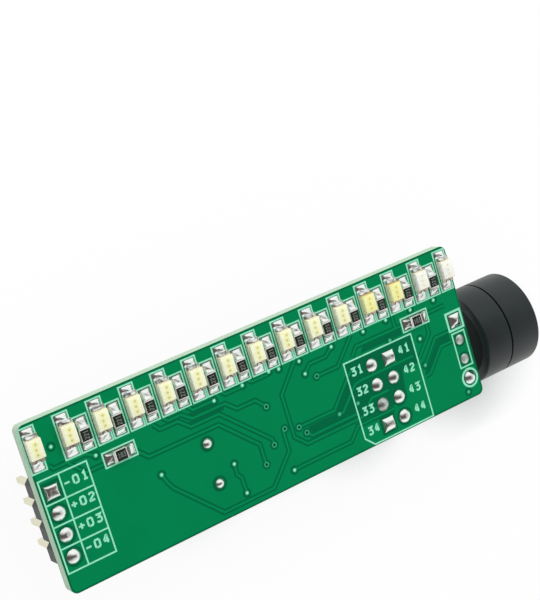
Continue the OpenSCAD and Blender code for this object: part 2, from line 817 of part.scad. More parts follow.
module sounder_base() {
    r = sounder_r;
    color([0.11, 0.11, 0.12]) on_sounder() difference() {
        rotate_extrude() polygon([
            [0, recess_d], [base_bore_r, recess_d], [base_bore_r, 0], [r - rim_cut, 0], [r, rim_cut],
            [r, seam_from_base - seam_cut], [r - seam_cut, seam_from_base], [ledge_r, seam_from_base],
            [ledge_r, ledge_z], [base_bore_r, ledge_z], [base_bore_r, base_floor_z], [0, base_floor_z]
        ]);
        for (side = [-1, 1]) translate([0, side * sounder_lead_r, 0])
            cylinder(d = sounder_lead_d, h = base_floor_z + cut);
    }
}

module sounder_cap() {
    r = sounder_r;
    inner_r = r - cap_wall;
    top = sounder_l - cap_wall;
    hole_r = sound_hole_d / 2;
    neck_r = hole_r + neck_wall;
    spigot_r = ledge_r - coil_clear;
    spigot_z = ledge_z + diaphragm_t + coil_clear;
    color([0.13, 0.13, 0.14]) on_sounder() rotate_extrude() polygon([
        [spigot_r - cap_wall / 2, spigot_z], [spigot_r, spigot_z], [spigot_r, seam_from_base],
        [r - seam_cut, seam_from_base], [r, seam_from_base + seam_cut],
        [r, sounder_l - rim_cut], [r - rim_cut, sounder_l], [hole_r, sounder_l],
        [hole_r, top - neck_l], [neck_r, top - neck_l], [neck_r, top], [inner_r, top],
        [inner_r, seam_from_base + cap_wall], [spigot_r - cap_wall / 2, seam_from_base + cap_wall]
    ]);
}

module sounder_resin() {
    color([0.10, 0.11, 0.12]) on_sounder() translate([0, 0, recess_d - resin_t]) difference() {
        cylinder(r = base_bore_r, h = resin_t);
        for (side = [-1, 1]) translate([0, side * sounder_lead_r, -cut])
            cylinder(d = sounder_lead_d, h = resin_t + 2 * cut);
    }
}

module sounder_leads() {
    run = sounder_base_x + base_floor_z - sounder_pad_x - sounder_bend_r;
    rise = face_z + lead_tail - sounder_z - sounder_bend_r;
    color([0.82, 0.82, 0.80]) at_sounder_leads() translate([sounder_bend_r, 0, sounder_z]) {
        rotate([0, 90, 0]) cylinder(d = sounder_lead_d, h = run);
        translate([0, 0, sounder_bend_r]) rotate([90, 180, 0]) rotate_extrude(angle = 90)
            translate([sounder_bend_r, 0]) circle(d = sounder_lead_d);
        translate([-sounder_bend_r, 0, sounder_bend_r]) cylinder(d = sounder_lead_d, h = rise);
    }
}

module sounder_core() {
    color([0.60, 0.60, 0.58]) on_sounder() rotate_extrude() polygon([
        [0, base_floor_z], [magnet_r, base_floor_z], [magnet_r, yoke_top_z],
        [core_d / 2, yoke_top_z], [core_d / 2, core_top_z], [0, core_top_z]
    ]);
}

module sounder_coil() {
    inner = core_d / 2 + coil_clear;
    color([0.72, 0.36, 0.16]) on_sounder() translate([0, 0, yoke_top_z]) difference() {
        cylinder(d = coil_d, h = coil_h);
        translate([0, 0, -cut]) cylinder(r = inner, h = coil_h + 2 * cut);
    }
}

module sounder_magnet() {
    color([0.24, 0.24, 0.25]) on_sounder() translate([0, 0, yoke_top_z]) difference() {
        cylinder(r = magnet_r, h = magnet_h);
        translate([0, 0, -cut]) cylinder(r = magnet_r - magnet_wall, h = magnet_h + 2 * cut);
    }
}

module sounder_diaphragm() {
    color([0.70, 0.71, 0.72]) on_sounder() translate([0, 0, ledge_z]) {
        cylinder(r = diaphragm_r, h = diaphragm_t);
        cylinder(d = weight_d, h = diaphragm_t + weight_t);
    }
}

// Parts on the underside

module controller_body() {
    color([0.17, 0.17, 0.18]) on_back(controller_x, controller_y)
        moulded_body(controller_w, controller_w, controller_h + body_lift);
}

module controller_leads() {
    rise = body_lift + controller_h * gull_rise_share - gull_lead_t / 2;
    color([0.80, 0.80, 0.79]) on_back(controller_x, controller_y) for (turn = [0:90:270]) rotate(turn)
        translate([controller_w / 2, 0, 0])
            gull_row(controller_leads_a_side, controller_pitch, controller_lead_w, rise);
}

module amplifier_body() {
    color([0.17, 0.17, 0.18]) on_back(amplifier_x, sensing_y)
        moulded_body(amplifier_w, amplifier_l, amplifier_h + body_lift);
}

module amplifier_leads() {
    rise = body_lift + amplifier_h * gull_rise_share - gull_lead_t / 2;
    color([0.80, 0.80, 0.79]) on_back(amplifier_x, sensing_y) for (turn = [0, 180]) rotate(turn)
        translate([amplifier_w / 2, 0, 0])
            gull_row(amplifier_leads_a_side, amplifier_pitch, amplifier_lead_w, rise);
}

module shunt_resistor() {
    color([0.18, 0.18, 0.19]) on_back(shunt_x, sensing_y)
        chip(shunt_l, shunt_w, shunt_t, 2 * chip_band, chip_band_proud);
}

// The regulator's feet: three leads on one side and the wide tab on the other
module regulator_feet() {
    inner = regulator_w / 2;
    for (i = [-1:1]) translate([i * regulator_lead_pitch - regulator_lead_w / 2, -inner - regulator_reach])
        square([regulator_lead_w, regulator_reach]);
    translate([-regulator_tab_w / 2, inner]) square([regulator_tab_w, regulator_reach]);
}

module regulator_body() {
    color([0.17, 0.17, 0.18]) on_back(regulator_x, regulator_y)
        flat_body(regulator_l, regulator_w, regulator_h, flat_lead_t);
}

module regulator_leads() {
    color([0.80, 0.80, 0.79]) on_back(regulator_x, regulator_y) linear_extrude(flat_lead_t) regulator_feet();
}

module transistor_feet() {
    inner = transistor_w / 2;
    for (x = [-small_lead_pitch, small_lead_pitch])
        translate([x - small_lead_w / 2, -inner - small_lead_reach]) square([small_lead_w, small_lead_reach]);
    translate([-small_lead_w / 2, inner]) square([small_lead_w, small_lead_reach]);
}

module driver_transistor() {
    color([0.20, 0.20, 0.21]) on_back(driver_x, from_lower(transistor_from_lower)) {
        flat_body(transistor_l, transistor_w, transistor_h, gull_lead_t);
        linear_extrude(gull_lead_t) transistor_feet();
    }
}

module diode_feet() {
    for (side = [-1, 1]) translate([side * (diode_l + diode_lead_reach) / 2, 0])
        square([diode_lead_reach, diode_lead_w], center = true);
}

module flyback_diode() {
    color([0.20, 0.20, 0.21]) on_back(driver_x, from_lower(diode_from_lower)) {
        flat_body(diode_l, diode_w, diode_h, gull_lead_t);
        linear_extrude(gull_lead_t) diode_feet();
    }
}

module ceramic_capacitors() {
    color([0.62, 0.48, 0.34]) for (place = capacitor_places) on_back(place[0], place[1], place[2])
        chip(chip_l, chip_w, capacitor_t, chip_band, chip_band_proud);
}

// Solder

// A low dome over a lead's tail, with the filling of the hole below it
module solder_dome(pad, hole, height) {
    r = pad / 2;
    curve = [for (i = [0:dome_steps])
        let (a = 90 * i / dome_steps) [r * cos(a), pad_t + height * sin(a)]];
    translate([0, 0, face_z]) rotate_extrude()
        polygon(concat([[0, 0], [hole / 2, 0], [hole / 2, pad_t]], curve));
    translate([0, 0, back_z]) cylinder(d = hole, h = board_t);
}

module through_hole_solder() {
    color([0.86, 0.86, 0.85]) {
        difference() {
            union() {
                at_input_pins() solder_dome(pad_d, header_hole_d, dome_h);
                at_program_pins() solder_dome(pad_d, header_hole_d, dome_h);
            }
            at_input_pins() square_pin(0, face_z + pin_tail);
            at_program_pins() square_pin(0, face_z + pin_tail);
        }
        at_crystal_leads() difference() {
            solder_dome(small_pad_d, crystal_hole_d, dome_h);
            translate([0, 0, back_z - cut]) cylinder(d = crystal_lead_d, h = board_t + lead_tail + cut);
        }
        at_sounder_leads() difference() {
            solder_dome(pad_d, sounder_hole_d, dome_h);
            translate([0, 0, back_z - cut]) cylinder(d = sounder_lead_d, h = board_t + lead_tail + cut);
        }
        at_small_pads() solder_dome(small_pad_d, small_hole_d, pad_t);
    }
}

module surface_solder() {
    color([0.86, 0.86, 0.85]) {
        translate([0, 0, seat_front_z]) {
            at_lamps() chip_solder(lamp_l, lamp_pad_w, lamp_plate_t, lamp_shift);
            at_lamp_resistors() chip_solder(chip_l, chip_w, band_t * fillet_climb, -chip_shift);
            at_cross_resistors() chip_solder(chip_l, chip_w, band_t * fillet_climb);
        }
        on_back(shunt_x, sensing_y) chip_solder(shunt_l, shunt_w, shunt_t * fillet_climb);
        for (place = capacitor_places) on_back(place[0], place[1], place[2])
            chip_solder(chip_l, chip_w, capacitor_t * fillet_climb);
    }
}

circuit_board();
tinned_pads();
printed_lines();
for (i = [1:lamp_count]) lamp(i);
for (i = [2:lamp_count - 1])
    lamp_resistor(i);
left_resistor();
right_resistor();
input_header();
input_pins();
programming_header();
programming_pins();
crystal_can();
crystal_base();
crystal_leads();
sounder_cap();
sounder_base();
sounder_resin();
sounder_leads();
sounder_core();
sounder_coil();
sounder_magnet();
sounder_diaphragm();
controller_body();
controller_leads();
amplifier_body();
amplifier_leads();
shunt_resistor();
regulator_body();
regulator_leads();
driver_transistor();
flyback_diode();
ceramic_capacitors();
through_hole_solder();
surface_solder();
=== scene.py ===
"""Looks of the overcurrent alarm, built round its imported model.

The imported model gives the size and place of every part. This script adds what a bench
lamp would show on the real board: the tracks under the green mask, the printed labels,
the chips with their metal ends, the solder, the moulded sounder, and every finish.
Lengths are written in millimetres and turned to metres when a piece is finished.
"""

import logging
import math
from dataclasses import dataclass, field
from enum import Enum

import bmesh
import bpy
from mathutils import Matrix, Quaternion, Vector, noise


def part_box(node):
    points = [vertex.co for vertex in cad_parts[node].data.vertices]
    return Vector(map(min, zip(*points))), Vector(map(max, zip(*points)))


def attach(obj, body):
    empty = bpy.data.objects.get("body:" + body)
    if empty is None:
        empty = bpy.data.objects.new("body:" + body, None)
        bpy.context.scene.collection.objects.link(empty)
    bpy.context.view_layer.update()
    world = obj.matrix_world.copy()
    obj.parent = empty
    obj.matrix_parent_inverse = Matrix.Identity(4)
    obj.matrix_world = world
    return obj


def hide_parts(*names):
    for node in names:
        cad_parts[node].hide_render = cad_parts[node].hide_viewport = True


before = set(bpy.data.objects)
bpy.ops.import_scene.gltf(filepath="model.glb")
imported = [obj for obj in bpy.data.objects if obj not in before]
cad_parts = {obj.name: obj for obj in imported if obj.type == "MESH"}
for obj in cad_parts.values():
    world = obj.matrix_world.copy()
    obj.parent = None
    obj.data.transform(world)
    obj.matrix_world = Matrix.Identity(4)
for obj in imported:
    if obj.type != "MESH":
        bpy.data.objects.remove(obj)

LOG = logging.getLogger("overcurrent_alarm")
Point = tuple[float, float]
BMesh = bmesh.types.BMesh
Tree = bpy.types.NodeTree
Node = bpy.types.Node
Socket = bpy.types.NodeSocket

MM = 0.001
WHITE = "#FFFFFF"
# Most values of a noise pattern lie in this range
NOISE_RANGE = (0.3, 0.7)
# Share by which a surface's roughness wanders
ROUGH_WANDER = 0.15
# Least share of a strip's half width that a mitre is worked out with, so that none runs out long
LEAST_MITRE = 0.4
# Pieces that cross on the board differ by this height, so that their tops don't lie in one plane
HAIR = 0.0001
# Pitch of both headers and of the sounder's row of pads
PITCH = 2.54

LAMPS = [f"lamp_{i:02d}" for i in range(1, 16)]
LAMP_RESISTORS = [f"lamp_resistor_{i:02d}" for i in range(2, 15)]
CROSS_RESISTORS = ["left_resistor", "right_resistor"]


class Side(Enum):
    """The two sides of the board, by the direction that each one faces along Z."""

    FACE = 1
    UNDERSIDE = -1


class ViaKind(Enum):
    """How a plated hole between the two sides was closed, and how bright it shows."""

    PLUGGED = "plugged"
    FAINT = "faint"
    OPEN = "open"


def linear(code: str) -> tuple[float, float, float, float]:
    """Turns an sRGB colour code to the linear values that Blender works with.

    Args:
        code: Six hexadecimal digits after a hash sign.

    Returns:
        Red, green, blue and an alpha of 1.
    """
    parts = [int(code[i : i + 2], 16) / 255 for i in (1, 3, 5)]
    red, green, blue = [c / 12.92 if c <= 0.04045 else ((c + 0.055) / 1.055) ** 2.4 for c in parts]
    return red, green, blue, 1.0


def set_inputs(tree: Tree, node: Node, values: dict) -> None:
    """Gives a node's inputs their values.

    Args:
        tree: The node tree.
        node: One of its nodes.
        values: By the name or number of an input, a value or the socket that feeds it.
    """
    for key, value in values.items():
        if isinstance(value, Socket):
            tree.links.new(value, node.inputs[key])
        else:
            node.inputs[key].default_value = value


def add_node(tree: Tree, kind: str, inputs: dict | None = None, **settings: object) -> Node:
    """Adds one shader node.

    Args:
        tree: The node tree.
        kind: Blender's name of the node's type, without its first word.
        inputs: Values and sockets, as set_inputs takes them.
        settings: The node's own properties.

    Returns:
        The new node.
    """
    made = tree.nodes.new(f"ShaderNode{kind}")
    for key, value in settings.items():
        setattr(made, key, value)
    set_inputs(tree, made, inputs or {})
    return made


def calc(tree: Tree, operation: str, *terms: float | Socket) -> Socket:
    """Adds a sum of one or two numbers or sockets, and gives its result."""
    return add_node(tree, "Math", dict(enumerate(terms)), operation=operation).outputs[0]


def blend(tree: Tree, share: Socket, low: str | Socket, high: str | Socket) -> Socket:
    """Adds a mix of two colours, each one an sRGB code or a socket, and gives its result."""
    first, second = [linear(one) if isinstance(one, str) else one for one in (low, high)]
    return add_node(tree, "Mix", {0: share, 6: first, 7: second}, data_type="RGBA").outputs[2]


def remap(
    tree: Tree, value: Socket, start: Point, end: Point = (0.0, 1.0), soft: bool = False
) -> Socket:
    """Adds a node that maps one range to another.

    Args:
        tree: The node tree.
        value: What is mapped.
        start: The two ends of the range that it comes from.
        end: What these two ends become.
        soft: Whether it starts and ends gently.

    Returns:
        The mapped value.
    """
    ends = {"From Min": start[0], "From Max": start[1], "To Min": end[0], "To Max": end[1]}
    way = "SMOOTHSTEP" if soft else "LINEAR"
    return add_node(tree, "MapRange", {"Value": value, **ends}, interpolation_type=way).outputs["Result"]


def spots(tree: Tree, place: Socket, size_mm: float, detail: float) -> Socket:
    """Adds noise whose spots are size_mm across, and gives its strength."""
    inputs = {"Scale": 1 / (size_mm * MM), "Detail": detail, "Vector": place}
    return add_node(tree, "TexNoise", inputs).outputs["Fac"]


def scaled(tree: Tree, place: Socket, scale: tuple[float, float, float]) -> Socket:
    """Stretches the coordinates that a pattern follows."""
    return add_node(tree, "Mapping", {"Scale": scale, "Vector": place}).outputs["Vector"]


def object_place(tree: Tree) -> Socket:
    """Gives the place on the object that a pattern follows."""
    return add_node(tree, "TexCoord").outputs["Object"]


def axes(tree: Tree, place: Socket) -> bpy.types.NodeOutputs:
    """Splits a place into its X, Y and Z."""
    return add_node(tree, "SeparateXYZ", {"Vector": place}).outputs


# Finishes


@dataclass(frozen=True)
class Finish:
    """A plain finish, and what all the other finishes share.

    Attributes:
        name: The real finish, as a maker would call it.
        colour: Its colour as an sRGB code.
        roughness: From 0, a mirror, to 1, chalk.
        metallic: 1 for bare metal and 0 for the rest.
        specular: Strength of the gloss of what isn't metal.
        mottle: How much lighter and darker the colour goes, as a share.
        mottle_mm: Size of those lighter and darker spots.
        bump_mm: Height of the surface's grain.
        bump_size_mm: Size of that grain.
    """

    name: str
    colour: str
    roughness: float = 0.5
    metallic: float = 0.0
    specular: float = 0.5
    mottle: float = 0.04
    mottle_mm: float = 1.0
    bump_mm: float = 0.0
    bump_size_mm: float = 0.2

    def material(self) -> bpy.types.Material:
        """Builds the material the first time, and finds it again after that."""
        found = bpy.data.materials.get(self.name)
        if found:
            return found
        made = bpy.data.materials.new(self.name)
        made.use_nodes = True
        tree = made.node_tree
        shader = tree.nodes["Principled BSDF"]
        plain = {"Metallic": self.metallic, "Specular IOR Level": self.specular}
        set_inputs(tree, shader, {"Roughness": self.roughness, **plain})
        self.paint(tree, shader)
        return made

    def paint(self, tree: Tree, shader: Node) -> None:
        """Adds the nodes that make the surface's pattern.

        Args:
            tree: The node tree of the material.
            shader: The material's main shader.
        """
        place = object_place(tree)
        set_inputs(tree, shader, {"Base Color": self.mottled(tree, place)})
        self.roughen(tree, shader, place)

    def mottled(self, tree: Tree, place: Socket) -> Socket:
        """Makes the colour uneven, as dyed or printed matter is close up.

        Args:
            tree: The node tree of the material.
            place: The coordinates that the pattern follows.

        Returns:
            The socket that carries the uneven colour.
        """
        pattern = spots(tree, place, self.mottle_mm, 3.0)
        level = remap(tree, pattern, NOISE_RANGE, (1 - self.mottle, 1 + self.mottle))
        inputs = {0: linear(self.colour)[:3], "Scale": level}
        return add_node(tree, "VectorMath", inputs, operation="SCALE").outputs["Vector"]

    def roughen(self, tree: Tree, shader: Node, place: Socket) -> None:
        """Gives the surface its grain, and a roughness that isn't quite even.

        Args:
            tree: The node tree of the material.
            shader: The material's main shader.
            place: The coordinates that the grain follows.
        """
        pattern = spots(tree, place, self.bump_size_mm, 2.0)
        ends = (self.roughness * (1 - ROUGH_WANDER), min(1.0, self.roughness * (1 + ROUGH_WANDER)))
        set_inputs(tree, shader, {"Roughness": remap(tree, pattern, (0.0, 1.0), ends)})
        if self.bump_mm > 0:
            relief = add_node(tree, "Bump", {"Distance": self.bump_mm * MM, "Height": pattern})
            set_inputs(tree, shader, {"Normal": relief.outputs["Normal"]})


@dataclass(frozen=True)
class MaskedBoard(Finish):
    """Green solder mask on both faces of the laminate, whose pale glass layers are bare at the edge.

    Attributes:
        edge_colour: Colour of the sawn laminate.
        layer_colour: Colour of the resin between its glass layers.
        layer_mm: Distance from one glass layer to the next.
        streak: Scale of the layers' pattern along them, small for long streaks.
        edge_roughness: Roughness of the sawn laminate.
        mask_mm: Depth of the mask that shows at the edge.
    """

    edge_colour: str = "#CFE3CF"
    layer_colour: str = "#A3C2A6"
    layer_mm: float = 0.2
    streak: float = 0.12
    edge_roughness: float = 0.75
    mask_mm: float = 0.03

    def paint(self, tree: Tree, shader: Node) -> None:
        """Splits the board by height into its masked faces and its bare edge.

        Args:
            tree: The node tree of the material.
            shader: The material's main shader.
        """
        place = object_place(tree)
        low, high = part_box("circuit_board")
        from_middle = calc(tree, "SUBTRACT", axes(tree, place)["Z"], (low.z + high.z) / 2)
        mask_starts = (high.z - low.z) / 2 - self.mask_mm * MM
        on_face = calc(tree, "GREATER_THAN", calc(tree, "ABSOLUTE", from_middle), mask_starts)
        # The glass cloth shows at the sawn edge as fine level streaks
        flat = scaled(tree, place, (self.streak, self.streak, 1.0))
        layers = spots(tree, flat, self.layer_mm, 2.0)
        edge = blend(tree, layers, self.edge_colour, self.layer_colour)
        skin = blend(tree, on_face, edge, self.mottled(tree, place))
        gloss = remap(tree, on_face, (0.0, 1.0), (self.edge_roughness, self.roughness))
        set_inputs(tree, shader, {"Base Color": skin, "Roughness": gloss})


@dataclass(frozen=True)
class LampResin(Finish):
    """Cream casting resin over three light-giving chips, which show through it as soft yellow spots.

    Attributes:
        spot_colour: Colour of the glow round the chips in the resin.
        core_colour: Colour of the chips themselves.
        spots: Places of the chips on the lamp, in millimetres from its middle.
        spot_mm: Radius of the glow.
        spot_strength: Strength of the glow's colour.
        core_mm: Radius of a chip.
        core_strength: Strength of a chip's colour.
        end_colour: Colour of the resin at its two ends, where the metal shows through.
        end_mm: Distance from the lamp's middle at which that colour is full.
        end_blend_mm: Length over which it comes up.
        depth_share: Share of the light that enters the resin.
        depth_tint: How far red, green and blue go in it.
        depth_mm: Distance that the light goes in it.
    """

    spot_colour: str = "#E9E79C"
    core_colour: str = "#B9B56C"
    spots: tuple[Point, ...] = ((0.04, 0.56), (-0.06, -0.04), (-0.04, -0.62))
    spot_mm: float = 0.55
    spot_strength: float = 0.9
    core_mm: float = 0.22
    core_strength: float = 0.7
    end_colour: str = "#E6DDB8"
    end_mm: float = 1.2
    end_blend_mm: float = 0.25
    depth_share: float = 0.7
    depth_tint: tuple[float, float, float] = (1.0, 1.0, 0.82)
    depth_mm: float = 0.6

    def paint(self, tree: Tree, shader: Node) -> None:
        """Puts the spots where the lamp's own map says, whatever the lamp's place on the board.

        Args:
            tree: The node tree of the material.
            shader: The material's main shader.
        """
        place = object_place(tree)
        own = add_node(tree, "UVMap", uv_map=ChipLamp.MAP).outputs["UV"]
        nearest, *others = [
            add_node(tree, "VectorMath", {0: own, 1: (x, y, 0.0)}, operation="DISTANCE").outputs["Value"]
            for x, y in self.spots
        ]
        for gap in others:
            nearest = calc(tree, "MINIMUM", nearest, gap)
        along = calc(tree, "ABSOLUTE", axes(tree, own)["Y"])
        end_from = self.end_mm - self.end_blend_mm
        layers = (
            (remap(tree, nearest, (0.0, self.spot_mm), (self.spot_strength, 0.0), True), self.spot_colour),
            (remap(tree, nearest, (0.0, self.core_mm), (self.core_strength, 0.0), True), self.core_colour),
            (remap(tree, along, (end_from, self.end_mm), soft=True), self.end_colour),
        )
        colour = self.mottled(tree, place)
        for share, tone in layers:
            colour = blend(tree, share, colour, tone)
        depth = {
            "Subsurface Weight": self.depth_share,
            "Subsurface Radius": self.depth_tint,
            "Subsurface Scale": self.depth_mm * MM,
        }
        set_inputs(tree, shader, {"Base Color": colour, **depth})
        self.roughen(tree, shader, place)


@dataclass(frozen=True)
class DrawnMetal(Finish):
    """Sheet or wire with the fine lines that drawing leaves along one axis.

    Attributes:
        stretch: Scale of the pattern along X, Y and Z, small along the lines.
    """

    stretch: tuple[float, float, float] = (1.0, 1.0, 0.08)

    def paint(self, tree: Tree, shader: Node) -> None:
        """Stretches the grain along the lines, and dresses colour and roughness with it.

        Args:
            tree: The node tree of the material.
            shader: The material's main shader.
        """
        place = scaled(tree, object_place(tree), self.stretch)
        set_inputs(tree, shader, {"Base Color": self.mottled(tree, place)})
        self.roughen(tree, shader, place)


@dataclass(frozen=True)
class BodyWithFeet(Finish):
    """Black moulded body of a small part, with tinned feet where the box of the body ends.

    Attributes:
        middle: Middle of the body in metres.
        half: Half of the body's length and width in metres.
        foot_colour: Colour of the tinned feet.
        foot_roughness: Roughness of the tinned feet.
    """

    middle: Point = (0.0, 0.0)
    half: Point = (0.001, 0.001)
    foot_colour: str = "#C9C9C4"
    foot_roughness: float = 0.3

    def paint(self, tree: Tree, shader: Node) -> None:
        """Splits the part by its plan into the black body and the metal outside it.

        Args:
            tree: The node tree of the material.
            shader: The material's main shader.
        """
        place = object_place(tree)
        split = axes(tree, place)
        outside = []
        for axis, middle, half in zip("XY", self.middle, self.half):
            away = calc(tree, "ABSOLUTE", calc(tree, "SUBTRACT", split[axis], middle))
            outside.append(calc(tree, "GREATER_THAN", away, half))
        foot = calc(tree, "MAXIMUM", *outside)
        colour = blend(tree, foot, self.mottled(tree, place), self.foot_colour)
        gloss = remap(tree, foot, (0.0, 1.0), (self.roughness, self.foot_roughness))
        set_inputs(tree, shader, {"Base Color": colour, "Metallic": foot, "Roughness": gloss})


# Liquid mask over the copper pour: even, deep green, glossy, a little thicker at the tracks
MASK = MaskedBoard("green_solder_mask", "#00814D", roughness=0.4, specular=0.03, mottle=0.03, mottle_mm=5.0)
# The same mask straight over laminate, which looks darker because no copper shines through it
BARE_MASK = Finish(
    "mask_over_laminate", "#006640", roughness=0.45, specular=0.03, mottle=0.03, mottle_mm=3.0
)
# Laminate seen in the mask's openings, brown-green and matt
BARE_LAMINATE = Finish("bare_laminate", "#4A6450", roughness=0.6, specular=0.1, mottle=0.15, mottle_mm=0.4)
# The mask over a copper track
TRACK_MASK = Finish("mask_over_copper", "#02854F", roughness=0.4, specular=0.03, mottle=0.03, mottle_mm=3.0)
# Mask that has filled a plated hole, thin and pale where the copper comes up, palest in the middle
VIA_MASK = Finish(
    "mask_over_plated_hole", "#4DBB8C", roughness=0.35, specular=0.2, mottle=0.1, mottle_mm=0.3
)
VIA_HEART = Finish(
    "mask_in_plated_hole", "#A9F2D0", roughness=0.35, specular=0.2, mottle=0.05, mottle_mm=0.3
)
# The same mask where it lies thicker, on the rims of open holes, and a dark disc of painted shade laid in
# place of their bores
THICK_VIA_MASK = Finish(
    "thick_mask_over_plated_hole", "#35A276", roughness=0.45, specular=0.05, mottle=0.15, mottle_mm=0.3
)
OPEN_BORE_SHADE = Finish("painted_shade_of_open_bore", "#003D2A", roughness=0.6, specular=0.05, mottle=0.1, mottle_mm=0.2)
# Screen-printed epoxy ink, matt, with a slightly uneven coat
INK = Finish("printed_epoxy_ink", "#94E6C4", roughness=0.7, specular=0.1, mottle=0.08, mottle_mm=0.5)
# Tin-lead level coat on the copper pads
PAD_TIN = Finish("levelled_tin_pads", "#D9D9D6", roughness=0.3, metallic=1.0, bump_mm=0.01, bump_size_mm=0.5)
# Solder as it froze: bright, smooth, with faint flow marks
SOLDER = Finish(
    "bright_solder", "#F2F7F3", roughness=0.2, metallic=1.0, mottle=0.05, bump_mm=0.012, bump_size_mm=0.45
)
# Solder that moved as it froze: grey and grainy
DULL_SOLDER = Finish(
    "dull_solder",
    "#C6D0CA",
    roughness=0.4,
    metallic=1.0,
    mottle=0.2,
    mottle_mm=0.4,
    bump_mm=0.02,
    bump_size_mm=0.2,
)
# Solder with a frosted skin, as it stands in the two holes that carry no lead
FROSTED_SOLDER = Finish(
    "frosted_solder",
    "#E6F4EC",
    roughness=0.5,
    metallic=1.0,
    mottle=0.25,
    mottle_mm=0.45,
    bump_mm=0.03,
    bump_size_mm=0.35,
)
# Gold flash over copper at the lamps' ends, toned darker as painted shade of the half-round notches that it
# lines
FLASHED_COPPER_AND_NOTCH_SHADE = Finish(
    "gold_flashed_copper_and_notch_shade", "#A38D60", roughness=0.4, metallic=1.0, mottle=0.2, mottle_mm=0.2
)
# The same ends where the solder's tin has wetted them
LAMP_END = Finish(
    "wetted_lamp_ends",
    "#EFE8D6",
    roughness=0.35,
    metallic=1.0,
    mottle=0.1,
    mottle_mm=0.25,
    bump_mm=0.03,
    bump_size_mm=0.4,
)
# Glass-filled white carrier of a lamp
LAMP_PLATE = Finish("white_lamp_carrier", "#E9E6D6", roughness=0.55, mottle=0.05, mottle_mm=0.3)
# Casting resin of the lamps, in the three tones that the row shows
CREAM_RESIN = LampResin("cream_lamp_resin", "#FCFED8", roughness=0.3, mottle=0.03, mottle_mm=0.5)
YELLOW_RESIN = LampResin(
    "yellow_lamp_resin",
    "#F4F4B4",
    roughness=0.3,
    mottle=0.05,
    mottle_mm=0.6,
    spot_colour="#F2E887",
    core_colour="#C3B25E",
    end_colour="#C9A75A",
)
PALE_RESIN = LampResin(
    "pale_lamp_resin",
    "#FAFAEE",
    roughness=0.3,
    mottle=0.02,
    mottle_mm=0.5,
    spot_colour="#F3F2DC",
    core_colour="#D2CFB4",
)
# Fired alumina body of a chip
ALUMINA = Finish("white_alumina", "#E4E4DE", roughness=0.6, mottle=0.04, mottle_mm=0.2)
# Black glaze over the resistive layer
OVERCOAT = Finish(
    "black_glass_overcoat", "#1C221D", roughness=0.35, specular=0.3, mottle=0.15, mottle_mm=0.4
)
# Pale marking on the glaze
MARKING = Finish("grey_marking_ink", "#727A73", roughness=0.6, mottle=0.1, mottle_mm=0.1)
# Barrel-plated tin on the ends of the chips
CHIP_TIN = Finish(
    "plated_tin_ends", "#E6E4E0", roughness=0.28, metallic=1.0, mottle=0.08, mottle_mm=0.3, bump_mm=0.01
)
# Sintered tan ceramic of the capacitors
CAPACITOR_CERAMIC = Finish("tan_ceramic", "#A98763", roughness=0.5, mottle=0.08, mottle_mm=0.3)
# Glass-filled black plastic of the headers, satin from the mould
HEADER_PLASTIC = Finish(
    "black_header_plastic",
    "#2D3031",
    roughness=0.5,
    mottle=0.1,
    mottle_mm=0.4,
    bump_mm=0.008,
    bump_size_mm=0.12,
)
# Gold flash on drawn square wire
PIN_GOLD = DrawnMetal(
    "gold_flashed_pins", "#DCD9BC", roughness=0.25, metallic=1.0, mottle=0.06, mottle_mm=0.2
)
# Tinned copper wire
LEAD_WIRE = DrawnMetal(
    "tinned_lead_wire", "#D5D4D0", roughness=0.25, metallic=1.0, mottle=0.06, mottle_mm=0.2
)
# Nickel-plated drawn steel can, its lines running round the drawing, and its pressed flange
CRYSTAL_CAN = DrawnMetal(
    "drawn_nickel_can", "#C9C8C4", roughness=0.3, metallic=1.0, mottle=0.07, mottle_mm=0.15, bump_mm=0.004
)
CRYSTAL_FLANGE = Finish(
    "pressed_nickel_flange",
    "#BDBCB6",
    roughness=0.35,
    metallic=1.0,
    mottle=0.08,
    mottle_mm=0.6,
    bump_mm=0.006,
)
# Charcoal moulding compound of the sounder, satin, with the fine grain of an eroded mould
SOUNDER_PLASTIC = Finish(
    "charcoal_sounder_plastic",
    "#151E20",
    roughness=0.4,
    specular=0.43,
    mottle=0.18,
    mottle_mm=3.5,
    bump_mm=0.012,
    bump_size_mm=0.14,
)
# Poured black epoxy, dusty and a little wavy
SOUNDER_RESIN = Finish(
    "black_sealing_resin",
    "#0C1514",
    roughness=0.45,
    specular=0.12,
    mottle=0.25,
    mottle_mm=1.6,
    bump_mm=0.03,
    bump_size_mm=1.5,
)
# What the sounder holds: turned core, wound coil, pressed magnet and stamped diaphragm
CORE_STEEL = Finish("zinc_plated_steel", "#A8A7A2", roughness=0.35, metallic=1.0, mottle=0.06, mottle_mm=0.5)
COIL_ENAMEL = DrawnMetal(
    "enamelled_copper_wire", "#A8542A", roughness=0.3, metallic=1.0, stretch=(1.0, 0.1, 0.1), mottle_mm=0.1
)
MAGNET_FERRITE = Finish("sintered_ferrite", "#3B3B3D", roughness=0.7, mottle=0.1, mottle_mm=0.3)
DIAPHRAGM_STEEL = Finish("rolled_steel_foil", "#B3B5B7", roughness=0.3, metallic=1.0, mottle=0.05)
# Black moulding compound of the small parts, matt from the mould
MOULDING = Finish(
    "black_moulding_compound",
    "#2A2B2D",
    roughness=0.6,
    mottle=0.08,
    mottle_mm=0.3,
    bump_mm=0.01,
    bump_size_mm=0.1,
)


# Shaping


